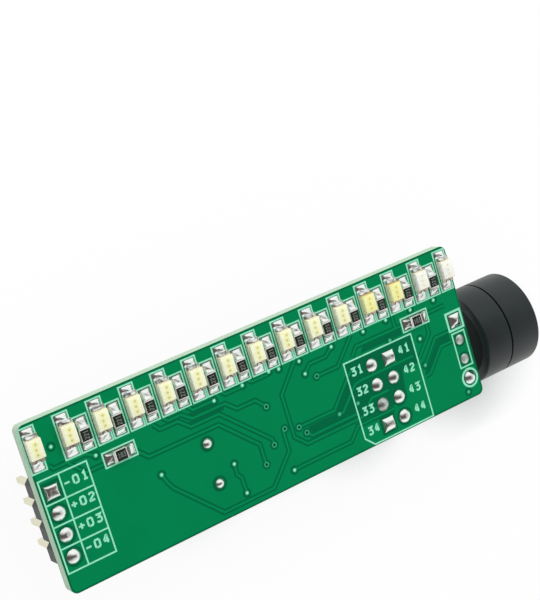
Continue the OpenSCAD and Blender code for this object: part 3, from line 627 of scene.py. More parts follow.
def lay_strip(bm: BMesh, line: list[Point], width: float, low: float, high: float, finish: int = 0) -> None:
    """Lays a flat strip with mitred bends along a line.

    Args:
        bm: The mesh that gets the strip.
        line: The strip's middle line, from point to point.
        width: Width of the strip.
        low: Height of its underside.
        high: Height of its top.
        finish: Number of its material.
    """
    points = [Vector(p) for p in line]
    runs = [(b - a).normalized() for a, b in zip(points, points[1:])]
    pairs = []
    for i, here in enumerate(points):
        before, after = runs[max(i - 1, 0)], runs[min(i, len(runs) - 1)]
        across = (before + after).normalized().orthogonal()
        reach = width / 2 / max(LEAST_MITRE, across.dot(after.orthogonal()))
        pairs.append([bm.verts.new((*(here + s * reach * across), low)) for s in (1, -1)])
    faces = [bm.faces.new((a[0], b[0], b[1], a[1])) for a, b in zip(pairs, pairs[1:])]
    raise_faces(bm, faces, high - low, finish)


def lay_patch(bm: BMesh, outline: list[Point], low: float, high: float, finish: int = 0) -> None:
    """Lays a flat patch with an outline of its own.

    Args:
        bm: The mesh that gets the patch.
        outline: The corners of the patch, in order.
        low: Height of its underside.
        high: Height of its top.
        finish: Number of its material.
    """
    face = bm.faces.new([bm.verts.new((x, y, low)) for x, y in outline])
    raise_faces(bm, [face], high - low, finish)


def raise_faces(bm: BMesh, faces: list[bmesh.types.BMFace], height: float, finish: int) -> None:
    """Turns flat faces into a closed slab.

    Args:
        bm: The mesh that holds the faces.
        faces: The faces.
        height: Height of the slab.
        finish: Number of its material.
    """
    for face in faces:
        face.material_index = finish
    bmesh.ops.translate(bm, verts=extrude(bm, faces), vec=(0, 0, height))


def extrude(bm: BMesh, faces: list[bmesh.types.BMFace]) -> list[bmesh.types.BMVert]:
    """Extrudes faces by nothing yet, and gives the new corners."""
    raised = bmesh.ops.extrude_face_region(bm, geom=faces)["geom"]
    return [v for v in raised if isinstance(v, bmesh.types.BMVert)]


def close_below(bm: BMesh, foot: float) -> None:
    """Turns an open relief into a closed form whose flat foot lies at a height."""
    for vert in extrude(bm, bm.faces[:]):
        vert.co.z = foot


def rectangle(low: Point | Vector, high: Point | Vector, margin: float) -> list[Point]:
    """Gives the corners of a rectangle that reaches past two places by a margin."""
    left, near, right, far = low[0] - margin, low[1] - margin, high[0] + margin, high[1] + margin
    return [(left, near), (right, near), (right, far), (left, far)]


def clamp(share: float) -> float:
    """Keeps a share between 0 and 1."""
    return min(1.0, max(0.0, share))


def wave(x: float, y: float, layer: float) -> float:
    """Gives smooth noise from -1 to 1 at a place, with a pattern of its own for each layer."""
    return noise.noise(Vector((x, y, layer)))


def turn_profile(
    bm: BMesh, profile: list[Point], place: Matrix, steps: int = 24, finish: int = 0
) -> None:
    """Turns a profile round the Z axis and sets the closed form in its place.

    Args:
        bm: The mesh that gets the form.
        profile: Radius and height of each point, in order.
        place: Where the form goes.
        steps: Number of steps in a full turn.
        finish: Number of its material.
    """
    made = bmesh.new()
    points = [made.verts.new((r, 0.0, z)) for r, z in profile]
    edges = [made.edges.new(pair) for pair in zip(points, points[1:])]
    if profile[0][0] > 0 and profile[-1][0] > 0:
        edges.append(made.edges.new((points[-1], points[0])))
    turn = {"cent": (0, 0, 0), "axis": (0, 0, 1), "angle": math.tau, "steps": steps}
    bmesh.ops.spin(made, geom=points + edges, use_merge=True, **turn)
    bmesh.ops.remove_doubles(made, verts=made.verts, dist=1e-5)
    join(bm, made, place, finish)


def lay_disc(
    bm: BMesh, r: float, low: float, high: float, place: Matrix, steps: int = 24, finish: int = 0
) -> None:
    """Lays a round disc of radius r between two heights of its place."""
    turn_profile(bm, [(0, low), (r, low), (r, high), (0, high)], place, steps, finish)


def rounded_block(
    bm: BMesh,
    size: tuple[float, float, float],
    place: Matrix,
    rounding: float,
    finish: int = 0,
    draft: float = 0.0,
) -> None:
    """Makes a block that stands on its place, with rounded edges.

    Args:
        bm: The mesh that gets the block.
        size: Its size along X, Y and Z.
        place: Where the middle of its foot goes.
        rounding: Radius of its edges.
        finish: Number of its material.
        draft: Amount by which each end along Y leans in at the top.
    """
    made = bmesh.new()
    bmesh.ops.create_cube(made, size=1.0)
    bmesh.ops.translate(made, verts=made.verts, vec=(0, 0, 0.5))
    bmesh.ops.scale(made, verts=made.verts, vec=size)
    for vert in made.verts:
        if vert.co.z > size[2] / 2:
            vert.co.y -= math.copysign(draft, vert.co.y)
    bmesh.ops.bevel(
        made, geom=made.edges, affect="EDGES", offset=rounding, segments=3, profile=0.5, material=-1
    )
    join(bm, made, place, finish)


def join(bm: BMesh, made: BMesh, place: Matrix, finish: int) -> None:
    """Moves a finished form to its place and adds it to a larger mesh.

    Args:
        bm: The mesh that gets the form.
        made: The form, which is used up.
        place: Where it goes.
        finish: Number of its material.
    """
    for face in made.faces:
        face.material_index = finish
    bmesh.ops.transform(made, verts=made.verts, matrix=place)
    bmesh.ops.recalc_face_normals(made, faces=made.faces)
    carrier = bpy.data.meshes.new("carrier")
    made.to_mesh(carrier)
    made.free()
    bm.from_mesh(carrier)
    bpy.data.meshes.remove(carrier)


def add_object(name: str, data: bpy.types.ID) -> bpy.types.Object:
    """Makes an object of a mesh, camera or lamp and puts it in the scene."""
    made = bpy.data.objects.new(name, data)
    bpy.context.scene.collection.objects.link(made)
    return made


def finish_piece(
    name: str,
    bm: BMesh,
    finishes: list[Finish],
    replaces: tuple[str, ...] = (),
    sharp_deg: float = 35.0,
) -> None:
    """Makes an object of a mesh that was built in millimetres, and lets it ride on the model.

    Args:
        name: Name of the piece.
        bm: Its mesh, which is used up.
        finishes: Its finishes, in the order of their numbers.
        replaces: The model's nodes that it stands for.
        sharp_deg: Angle over which an edge stays sharp.
    """
    bmesh.ops.recalc_face_normals(bm, faces=bm.faces)
    bmesh.ops.scale(bm, verts=bm.verts, vec=(MM, MM, MM))
    for face in bm.faces:
        face.smooth = True
    mesh = bpy.data.meshes.new(name)
    bm.to_mesh(mesh)
    bm.free()
    mesh.set_sharp_from_angle(angle=math.radians(sharp_deg))
    for one in finishes:
        mesh.materials.append(one.material())
    piece = add_object(name, mesh)
    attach(piece, "root")
    if replaces:
        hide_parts(*replaces)
    LOG.info("%s: %d faces", name, len(mesh.polygons))


def dress(finish: Finish, *nodes: str) -> None:
    """Gives some of the model's own nodes their finish.

    Args:
        finish: The finish.
        nodes: Names of the nodes.
    """
    for node in nodes:
        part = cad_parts[node]
        if not part.material_slots:
            part.data.materials.append(None)
        for socket in part.material_slots:
            socket.material = finish.material()
        LOG.info("%s: %s", node, finish.name)


@dataclass(frozen=True)
class Box:
    """A box in the model's frame, in millimetres.

    Attributes:
        low: Its lowest corner.
        high: Its highest corner.
    """

    low: Vector
    high: Vector

    @property
    def middle(self) -> Vector:
        """Its middle."""
        return (self.low + self.high) / 2

    @property
    def size(self) -> Vector:
        """Its size along X, Y and Z."""
        return self.high - self.low


def node_box(node: str) -> Box:
    """Gives the box of one of the model's nodes."""
    low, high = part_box(node)
    return Box(low / MM, high / MM)


def solids_of(node: str) -> list[Box]:
    """Finds the separate solids of one of the model's nodes.

    Args:
        node: Name of the node.

    Returns:
        A box for each of its solids.
    """
    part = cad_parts[node]
    bm = bmesh.new()
    bm.from_mesh(part.data)
    bmesh.ops.transform(bm, matrix=part.matrix_world, verts=bm.verts)
    bmesh.ops.remove_doubles(bm, verts=bm.verts, dist=1e-6)
    left, found = set(bm.verts), []
    while left:
        members = [left.pop()]
        for vert in members:
            for edge in vert.link_edges:
                other = edge.other_vert(vert)
                if other in left:
                    left.remove(other)
                    members.append(other)
        ends = [[pick(vert.co[axis] for vert in members) / MM for axis in range(3)] for pick in (min, max)]
        found.append(Box(*map(Vector, ends)))
    bm.free()
    return sorted(found, key=lambda solid: tuple(round(v, 3) for v in solid.middle))


# Sub-assemblies


class PadKind(Enum):
    """Shapes of the drilled pads."""

    ROUND = "round"
    SQUARE = "square"
    SMALL = "small"
    FILLED = "filled"


@dataclass(frozen=True)
class Pad:
    """One drilled pad of the board, in the model's X and Y.

    Attributes:
        x: Its place along the board.
        y: Its place across the board.
        kind: Its shape.
        dull: Whether its solder froze dull.
        rise: Height of its solder.
        peaked: Whether its solder, on a square pad, stands up to one peak.
    """

    x: float
    y: float
    kind: PadKind
    dull: bool = False
    rise: float = 0.45
    peaked: bool = False


@dataclass
class PadPlan:
    """Places of the drilled pads, read from the pins and leads that go through them.

    Attributes:
        round_r: Radius of the round pads.
        square: Side of the square pads.
        small_r: Radius of the small pads.
        lead_r: Radius of the sounder's leads.
        flat_rise: Height of the solder on the input header's square pad.
        fill_rise: Height of the solder in the two holes that carry no lead.
    """

    round_r: float = 0.83
    square: float = 1.66
    small_r: float = 0.625
    lead_r: float = 0.3
    flat_rise: float = 0.36
    fill_rise: float = 0.2

    def pads(self) -> list[Pad]:
        """Gives every drilled pad: both headers, the crystal and the sounder."""
        inputs, program = node_box("input_pins"), node_box("programming_pins")
        crystal, sounder = node_box("crystal_leads"), node_box("sounder_leads")
        half = inputs.size.x / 2
        top = inputs.high.y - half
        found = [Pad(inputs.middle.x, top, PadKind.SQUARE, rise=self.flat_rise)]
        found += [Pad(inputs.middle.x, top - row * PITCH, PadKind.ROUND) for row in (1, 2, 3)]
        top = program.high.y - half
        for row in range(4):
            for column, x in enumerate((program.low.x + half, program.high.x - half)):
                kind = PadKind.SQUARE if (row, column) in ((0, 1), (3, 0)) else PadKind.ROUND
                found.append(Pad(x, top - row * PITCH, kind, dull=(row, column) == (2, 0)))
        half = crystal.size.x / 2
        ends = (crystal.low.y + half, crystal.high.y - half)
        found += [Pad(crystal.middle.x, y, PadKind.SMALL) for y in ends]
        x, low = sounder.low.x + self.lead_r, sounder.low.y + self.lead_r
        found.append(Pad(x, low, PadKind.ROUND))
        found += [Pad(x, low + row * PITCH, PadKind.FILLED, rise=self.fill_rise) for row in (1, 2)]
        found.append(Pad(x, low + 3 * PITCH, PadKind.SQUARE, peaked=True))
        return found

    def reach(self, pad: Pad) -> float:
        """Gives the radius of a pad, or half the side of a square one."""
        sizes = {PadKind.ROUND: self.round_r, PadKind.SQUARE: self.square / 2}
        return sizes.get(pad.kind, self.small_r)


@dataclass
class StrokeFont:
    """Plain digits and signs drawn with one pen, as a printed board has them.

    Each stroke is a line of points on a grid two wide and four high.

    Attributes:
        height: Height of a digit, with its pen.
        width: Width of a digit, with its pen.
        pen: Width of the stroke.
        step: Distance from one digit to the next.
    """

    height: float
    width: float
    pen: float
    step: float

    STROKES = {
        "0": [[(0.4, 0), (0, 0.7), (0, 3.3), (0.4, 4), (1.6, 4), (2, 3.3), (2, 0.7), (1.6, 0), (0.4, 0)]],
        "1": [[(0.3, 3.2), (1.1, 4), (1.1, 0)], [(0.3, 0), (1.9, 0)]],
        "2": [[(0, 3.3), (0.5, 4), (1.5, 4), (2, 3.3), (2, 2.7), (0, 0.5), (0, 0), (2, 0)]],
        "3": [[(0, 4), (2, 4), (1, 2.5), (1.6, 2.4), (2, 1.8), (2, 0.6), (1.5, 0), (0.5, 0), (0, 0.6)]],
        "4": [[(1.5, 0), (1.5, 4), (1.2, 4), (0, 1.7)], [(0, 1.3), (2.1, 1.3)]],
        "+": [[(-0.2, 2), (2.2, 2)], [(1, 0.5), (1, 3.5)]],
        "-": [[(-0.1, 2), (2.1, 2)]],
    }

    def write(
        self, bm: BMesh, words: str, place: Matrix, low: float, high: float, finish: int = 0
    ) -> None:
        """Writes a row of digits centred on its place.

        Args:
            bm: The mesh that gets the strokes.
            words: The digits and signs.
            place: Middle and turn of the row.
            low: Height of the underside of the strokes.
            high: Height of their tops.
            finish: Number of their material.
        """
        across, up = (self.width - self.pen) / 2, (self.height - self.pen) / 4
        made = bmesh.new()
        for i, sign in enumerate(words):
            start = (i - (len(words) - 1) / 2) * self.step - across
            for k, stroke in enumerate(self.STROKES[sign]):
                line = [(start + x * across, (y - 2) * up) for x, y in stroke]
                lay_strip(made, line, self.pen, low, high + k * 5 * HAIR)
        join(bm, made, place, finish)


@dataclass
class TrackSide:
    """Tracks, gaps and plated holes on one side of the board.

    Places are measured from the input header's first pad, to the right and down the face.

    Attributes:
        side: The side of the board.
        tracks: Middle lines of the tracks.
        patches: Outlines of the places without copper.
        holes: Places of the plated holes, with how each one is closed.
        wide: Middle lines of the wide tracks that carry the measured current.
        wide_w: Width of a wide track.
        track_w: Width of a track.
        gap_w: Width of a track with the bare gap on both its sides.
        gap_rise: Height of the mask in the gaps, which is drawn a hair above the pour.
        track_rise: Height of the mask over a track.
        sink: Depth of all of these pieces in the board.
        edge_inset: Distance of the middle of the bare strip from the board's edge.
        edge_w: Width of that strip.
        corner_r: Rounding of the board's corners.
        corner_steps: Number of steps round a corner.
        opening: Width of the bare laminate round a flat pad, where the mask is left open.
        opening_rise: Height at which that laminate is drawn.
        pad_clear: Bare gap round a drilled pad.
        pad_gap_rise: Height at which that gap is drawn.
        hole_gap_r: Radius of the bare gap round a plated hole.
        hole_gap_rise: Height at which that gap is drawn.
        bore_r: Radius of the bore of an open hole.
        bore_rise: Height of the dark disc of painted shade that stands for that bore.
    """

    side: Side
    tracks: list[list[Point]]
    patches: list[list[Point]]
    holes: list[tuple[float, float, ViaKind]]
    wide: list[list[Point]] = field(default_factory=list)
    wide_w: float = 1.5
    track_w: float = 0.26
    gap_w: float = 0.68
    gap_rise: float = 0.004
    track_rise: float = 0.014
    sink: float = 0.01
    edge_inset: float = 0.12
    edge_w: float = 0.18
    corner_r: float = 0.8
    corner_steps: int = 3
    opening: float = 0.16
    opening_rise: float = 0.014
    pad_clear: float = 0.31
    pad_gap_rise: float = 0.0066
    hole_gap_r: float = 0.57
    hole_gap_rise: float = 0.0056
    bore_r: float = 0.17
    bore_rise: float = 0.0186

    # Radius and height along the outside of a plug, of its heart and of the rim of an open hole
    PLUG = ((0.25, 0.012), (0.2, 0.026), (0, 0.03))
    HEART = ((0.14, 0.03), (0.08, 0.045), (0, 0.05))
    RIM = ((0.33, 0.016), (0.28, 0.028), (0.22, 0.028), (0.17, 0.014))

    def __post_init__(self) -> None:
        """Finds the first pad and the height of this side."""
        pins, board = node_box("input_pins"), node_box("circuit_board")
        self.first = Vector((pins.middle.x, pins.high.y - pins.size.x / 2))
        self.level = board.high.z if self.side is Side.FACE else board.low.z
        self.bottom = self.rise(-self.sink)

    def at(self, places: list[Point]) -> list[Point]:
        """Turns places on the board to the model's X and Y."""
        return [(self.first.x + x, self.first.y - y) for x, y in places]

    def rise(self, height: float) -> float:
        """Gives the Z of a surface that stands out from this side by a height."""
        return self.level + self.side.value * height

    def place(self, x: float, y: float) -> Matrix:
        """Gives the frame of a small form on this side, its Z pointing away from the board."""
        return Matrix.Translation((x, y, self.level)) @ Matrix.Diagonal((1, 1, self.side.value, 1))

    def build(self) -> None:
        """Builds the gaps, the tracks and the plated holes."""
        gaps, tracks, holes = bmesh.new(), bmesh.new(), bmesh.new()
        runs = [(line, self.track_w, self.gap_w, i * HAIR) for i, line in enumerate(self.tracks)]
        wide_gap = self.wide_w + self.gap_w - self.track_w
        runs += [(line, self.wide_w, wide_gap, 0.0) for line in self.wide]
        for line, width, gap_w, hair in runs:
            lay_strip(gaps, self.at(line), gap_w, self.bottom, self.rise(self.gap_rise + hair))
            lay_strip(tracks, self.at(line), width, self.bottom, self.rise(self.track_rise + hair))
        for i, outline in enumerate(self.patches):
            lay_patch(gaps, self.at(outline), self.bottom, self.rise(self.gap_rise - 2 * HAIR * (i + 1)))
        for x, y, kind in self.holes:
            self.close_hole(gaps, holes, self.place(*self.at([(x, y)])[0]), kind)
        self.draw_back_from_edge(gaps)
        self.clear_pads(gaps)
        self.open_mask(gaps)
        pieces = (
            ("gaps", gaps, [BARE_MASK, BARE_LAMINATE]),
            ("tracks", tracks, [TRACK_MASK]),
            ("plated_holes", holes, [VIA_MASK, VIA_HEART, OPEN_BORE_SHADE, THICK_VIA_MASK]),
        )
        for name, bm, finishes in pieces:
            finish_piece(f"{self.side.name.lower()}_{name}", bm, finishes)

    def close_hole(self, gaps: BMesh, holes: BMesh, here: Matrix, kind: ViaKind) -> None:
        """Makes one plated hole with the gap round it.

        Args:
            gaps: The mesh of the gaps.
            holes: The mesh of the holes.
            here: The hole's place.
            kind: How the hole is closed.
        """
        sink = -self.sink
        lay_disc(gaps, self.hole_gap_r, sink, self.hole_gap_rise, here)
        if kind is ViaKind.OPEN:
            turn_profile(holes, [(self.bore_r, sink), (self.RIM[0][0], sink), *self.RIM], here, finish=3)
            # A dark disc of painted shade stands in for the open bore
            lay_disc(holes, self.bore_r, sink, self.bore_rise, here, finish=2)
            return
        finishes = (0, 1) if kind is ViaKind.PLUGGED else (3, 0)
        for outside, finish in zip((self.PLUG, self.HEART), finishes):
            turn_profile(holes, [(0, sink), (outside[0][0], sink), *outside], here, finish=finish)

    def draw_back_from_edge(self, gaps: BMesh) -> None:
        """Leaves the strip along the board's edge bare, as the copper stops short of it.

        Args:
            gaps: The mesh of the gaps.
        """
        board = node_box("circuit_board")
        r = self.corner_r - self.edge_inset
        half = board.size / 2
        ring = []
        for k, (sx, sy) in enumerate(((1, 1), (-1, 1), (-1, -1), (1, -1))):
            x = board.middle.x + sx * (half.x - self.corner_r)
            y = board.middle.y + sy * (half.y - self.corner_r)
            for j in range(self.corner_steps + 1):
                angle = math.radians(90 * k + 90 / self.corner_steps * j)
                ring.append((x + r * math.cos(angle), y + r * math.sin(angle)))
        for k, start in enumerate(ring):
            run = [start, ring[(k + 1) % len(ring)]]
            lay_strip(gaps, run, self.edge_w, self.bottom, self.rise(self.gap_rise - HAIR * (1 + k % 2)))

    def clear_pads(self, gaps: BMesh) -> None:
        """Leaves a bare ring round each drilled pad.

        Args:
            gaps: The mesh of the gaps.
        """
        plan = PadPlan()
        for pad in plan.pads():
            r, spot = plan.reach(pad) + self.pad_clear, (pad.x, pad.y)
            if pad.kind is PadKind.SQUARE:
                lay_patch(gaps, rectangle(spot, spot, r), self.bottom, self.rise(self.pad_gap_rise))
            else:
                lay_disc(gaps, r, -self.sink, self.pad_gap_rise, self.place(*spot), 32)

    def open_mask(self, gaps: BMesh) -> None:
        """Leaves a rim of bare laminate round the pads of the surface parts, and under their bodies.

        Args:
            gaps: The mesh of the gaps.
        """
        bodies = [node_box(node) for node in LAMPS + LAMP_RESISTORS + CROSS_RESISTORS]
        for i, solid in enumerate(solids_of("surface_solder") + bodies):
            if (solid.middle.z > self.level) == (self.side is Side.FACE):
                corners = rectangle(solid.low, solid.high, self.opening)
                lay_patch(gaps, corners, self.bottom, self.rise(self.opening_rise + HAIR / 2 * i), 1)


@dataclass
class PrintedLabels:
    """Plain numbers beside the header pads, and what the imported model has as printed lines.

    Attributes:
        input_labels: Numbers of the input header, from the top.
        left_labels: Numbers left of the programming header, from the top.
        right_labels: Numbers right of it, from the top.
        input_font: The pen and size of the digits beside the input header.
        program_font: The pen and size of the digits beside the programming header.
        input_shift: Distance from an input pad to the middle of its number.
        left_shift: Distance from a left pad to the middle of its number.
        right_shift: Distance from a right pad to the middle of its number.
        low: Height of the underside of the ink on the board.
        high: Height of its top.
    """

    input_labels: tuple[str, ...] = ("-01", "+02", "+03", "-04")
    left_labels: tuple[str, ...] = ("31", "32", "33", "34")
    right_labels: tuple[str, ...] = ("41", "42", "43", "44")
    input_font: StrokeFont = field(default_factory=lambda: StrokeFont(1.08, 0.8, 0.23, 1.07))
    program_font: StrokeFont = field(default_factory=lambda: StrokeFont(1.08, 0.76, 0.23, 0.97))
    input_shift: Point = (2.98, 0.2)
    left_shift: Point = (-2.23, 0.2)
    right_shift: Point = (2.43, 0.2)
    low: float = -0.01
    high: float = 0.03

    def build(self) -> None:
        """Dresses the printed lines and writes the numbers."""
        dress(INK, "printed_lines")
        bm = bmesh.new()
        level = node_box("circuit_board").high.z
        inputs, program = node_box("input_pins"), node_box("programming_pins")
        half_pin = inputs.size.x / 2
        input_top, program_top = inputs.high.y - half_pin, program.high.y - half_pin
        left, right = program.low.x + half_pin, program.high.x - half_pin
        columns = (
            (self.input_font, inputs.middle.x, input_top, self.input_shift, self.input_labels),
            (self.program_font, left, program_top, self.left_shift, self.left_labels),
            (self.program_font, right, program_top, self.right_shift, self.right_labels),
        )
        for font, x, top, shift, labels in columns:
            for row, words in enumerate(labels):
                place = Matrix.Translation((x + shift[0], top - row * PITCH + shift[1], level))
                font.write(bm, words, place, self.low, self.high)
        finish_piece("printed_numbers", bm, [INK])


@dataclass
class ChipLamp:
    """One lamp of the bar: carrier plate, flashed ends with half-round notches, and cast lens.

    Attributes:
        node: The model's node that it stands for.
        resin: The tone of its lens.
        plate_t: Thickness of the carrier plate.
        lens_l: Length of the lens at its foot.
        lens_draft: Length that each end of the lens loses towards its top.
        lens_rounding: Radius of the lens' edges.
        notch_r: Radius of the notch in each end.
        plating_t: Thickness of the metal.
        plating_tuck: Length of the metal under the lens.
        lining_t: Width of the metal that shows round a notch, darker with the notch's painted shade.
        lining_rise: Height of that metal over the plate, in thicknesses of the plating.
        notch_steps: Number of steps round a notch.
    """

    MAP = "lamp_mm"

    node: str
    resin: LampResin
    plate_t: float = 0.4
    lens_l: float = 2.4
    lens_draft: float = 0.12
    lens_rounding: float = 0.05
    notch_r: float = 0.38
    plating_t: float = 0.04
    plating_tuck: float = 0.02
    lining_t: float = 0.1
    lining_rise: float = 1.6
    notch_steps: int = 10

    def notch(self, r: float, half_l: float) -> list[Point]:
        """Gives the half circle of a radius round the middle of an end."""
        turns = [math.pi * k / self.notch_steps for k in range(self.notch_steps + 1)]
        return [(r * math.cos(t), half_l - r * math.sin(t)) for t in turns]

    def end_outline(self, inner: float, half_w: float, half_l: float) -> list[Point]:
        """Gives the outline of one end, from its inner edge to its notch."""
        notch = self.notch(self.notch_r, half_l)
        return [(half_w, inner), (half_w, half_l), *notch, (-half_w, half_l), (-half_w, inner)]

    def build(self) -> None:
        """Builds the lamp and puts it on its pads."""
        box = node_box(self.node)
        half_w, half_l = box.size.x / 2, box.size.y / 2
        body = self.end_outline(0.0, half_w, half_l)
        plating = self.end_outline(self.lens_l / 2 - self.plating_tuck, half_w, half_l)
        lining = self.notch(self.notch_r - self.lining_t / 2, half_l)
        bm = bmesh.new()
        for turn in (0, math.pi):
            turned = Matrix.Rotation(turn, 4, "Z")
            for outline, low, high, finish in (
                (body, 0.0, self.plate_t, 0),
                (plating, self.plate_t, self.plate_t + self.plating_t, 1),
            ):
                end = bmesh.new()
                lay_patch(end, outline, low, high)
                join(bm, end, turned, finish)
            # The lining round each notch carries the notch's painted shade in its darker colour
            end = bmesh.new()
            lay_strip(end, lining, self.lining_t, 0.0, self.plate_t + self.plating_t * self.lining_rise)
            join(bm, end, turned, 3)
        lens = (box.size.x, self.lens_l, box.size.z - self.plate_t)
        top = Matrix.Translation((0, 0, self.plate_t))
        rounded_block(bm, lens, top, self.lens_rounding, 2, self.lens_draft)
        own = bm.loops.layers.uv.new(self.MAP)
        for face in bm.faces:
            for loop in face.loops:
                loop[own].uv = loop.vert.co.xy
        bmesh.ops.translate(bm, verts=bm.verts, vec=(box.middle.x, box.middle.y, box.low.z))
        finishes = [LAMP_PLATE, LAMP_END, self.resin, FLASHED_COPPER_AND_NOTCH_SHADE]
        finish_piece(self.node.replace("lamp", "chip_lamp"), bm, finishes, (self.node,))


@dataclass
class LampBar:
    """The row of lamps along the top edge.

    Attributes:
        yellow: Lamps whose resin is yellower than the rest.
        pale: Lamps whose resin is paler than the rest.
    """

    yellow: tuple[int, ...] = (12, 13)
    pale: tuple[int, ...] = (14, 15)

    def build(self) -> None:
        """Builds every lamp of the row."""
        tones = {i: YELLOW_RESIN for i in self.yellow} | {i: PALE_RESIN for i in self.pale}
        for i, node in enumerate(LAMPS, 1):
            ChipLamp(node, tones.get(i, CREAM_RESIN)).build()


@dataclass
class ChipPart:
    """A two-ended chip: its body, its metal ends and, on a resistor, its glaze and number.

    Attributes:
        band: Length of each metal end.
        proud: Amount that the metal stands out from the body.
        body: Finish of the body.
        glaze: Finish of the coat on top, or None.
        number: Plain number on the coat.
        pen: The pen and size of its digits.
        body_rounding: Radius of the body's edges.
        end_rounding: Radius of the edges of the ends.
        coat_t: Thickness of the coat.
        coat_drop: Distance of the coat's top under the metal's.
        coat_end: Distance of the coat from each metal end.
        ink_t: Thickness of the number.
    """

    band: float = 0.35
    proud: float = 0.03
    body: Finish = ALUMINA
    glaze: Finish | None = OVERCOAT
    number: str = ""
    pen: StrokeFont = field(default_factory=lambda: StrokeFont(0.58, 0.28, 0.09, 0.34))
    body_rounding: float = 0.03
    end_rounding: float = 0.12
    coat_t: float = 0.036
    coat_drop: float = 0.006
    coat_end: float = 0.01
    ink_t: float = 0.003

    def add(self, bm: BMesh, size: Vector, place: Matrix) -> None:
        """Adds the chip to a mesh, its length along its own Y.

        Args:
            bm: The mesh, whose finishes are those that finishes() gives.
            size: The chip's width, length and height.
            place: Middle of its foot on the pads.
        """
        w, length, t = size
        core = (w - 2 * self.proud, length - self.band, t - self.proud)
        rounded_block(bm, core, place @ Matrix.Translation((0, 0, self.proud / 2)), self.body_rounding, 0)
        for side in (-1, 1):
            end = place @ Matrix.Translation((0, side * (length - self.band) / 2, 0))
            rounded_block(bm, (w, self.band, t), end, self.end_rounding, 1)
        if self.glaze:
            coat = (w - 2 * self.coat_t, length - 2 * (self.band + self.coat_end), self.coat_t)
            top = place @ Matrix.Translation((0, 0, t - self.coat_t - self.coat_drop))
            rounded_block(bm, coat, top, self.proud / 2, 2)
        if self.number:
            turned = place @ Matrix.Rotation(math.pi / 2, 4, "Z")
            high = t - self.coat_drop + self.ink_t
            self.pen.write(bm, self.number, turned, t - self.proud, high, 3)

    def finishes(self) -> list[Finish]:
        """Gives the chip's finishes in the order of their numbers."""
        return [self.body, CHIP_TIN, self.glaze or self.body, MARKING]


@dataclass
class Resistors:
    """The chip resistors between the lamps, the two that lie lengthwise, and the shunt below.

    Attributes:
        lamp_number: Plain number on the resistors between the lamps.
        cross_number: Plain number on the two lengthwise ones.
        shunt_number: Plain number on the shunt.
        shunt_band: Length of the shunt's metal ends.
    """

    lamp_number: str = "221"
    cross_number: str = "103"
    shunt_number: str = "010"
    shunt_band: float = 0.7

    def build(self) -> None:
        """Builds every resistor in its node's place."""
        for node in LAMP_RESISTORS:
            self.place_chip(node, ChipPart(number=self.lamp_number))
        for node in CROSS_RESISTORS:
            self.place_chip(node, ChipPart(number=self.cross_number), -math.pi / 2)
        shunt = ChipPart(number=self.shunt_number, band=self.shunt_band)
        self.place_chip("shunt_resistor", shunt, side=Side.UNDERSIDE)

    def place_chip(self, node: str, chip: ChipPart, turn: float = 0.0, side: Side = Side.FACE) -> None:
        """Builds one resistor.

        Args:
            node: The model's node that it stands for.
            chip: Its chip.
            turn: Its turn on the board, in radians.
            side: The side of the board that it lies on.
        """
        box = node_box(node)
        size = box.size.copy()
        if turn:
            size.x, size.y = size.y, size.x
        foot = box.low.z if side is Side.FACE else box.high.z
        place = Matrix.Translation((box.middle.x, box.middle.y, foot)) @ Matrix.Rotation(turn, 4, "Z")
        if side is Side.UNDERSIDE:
            place = place @ Matrix.Rotation(math.pi, 4, "Y")
        bm = bmesh.new()
        chip.add(bm, size, place)
        finish_piece(f"dressed_{node}", bm, chip.finishes(), (node,))


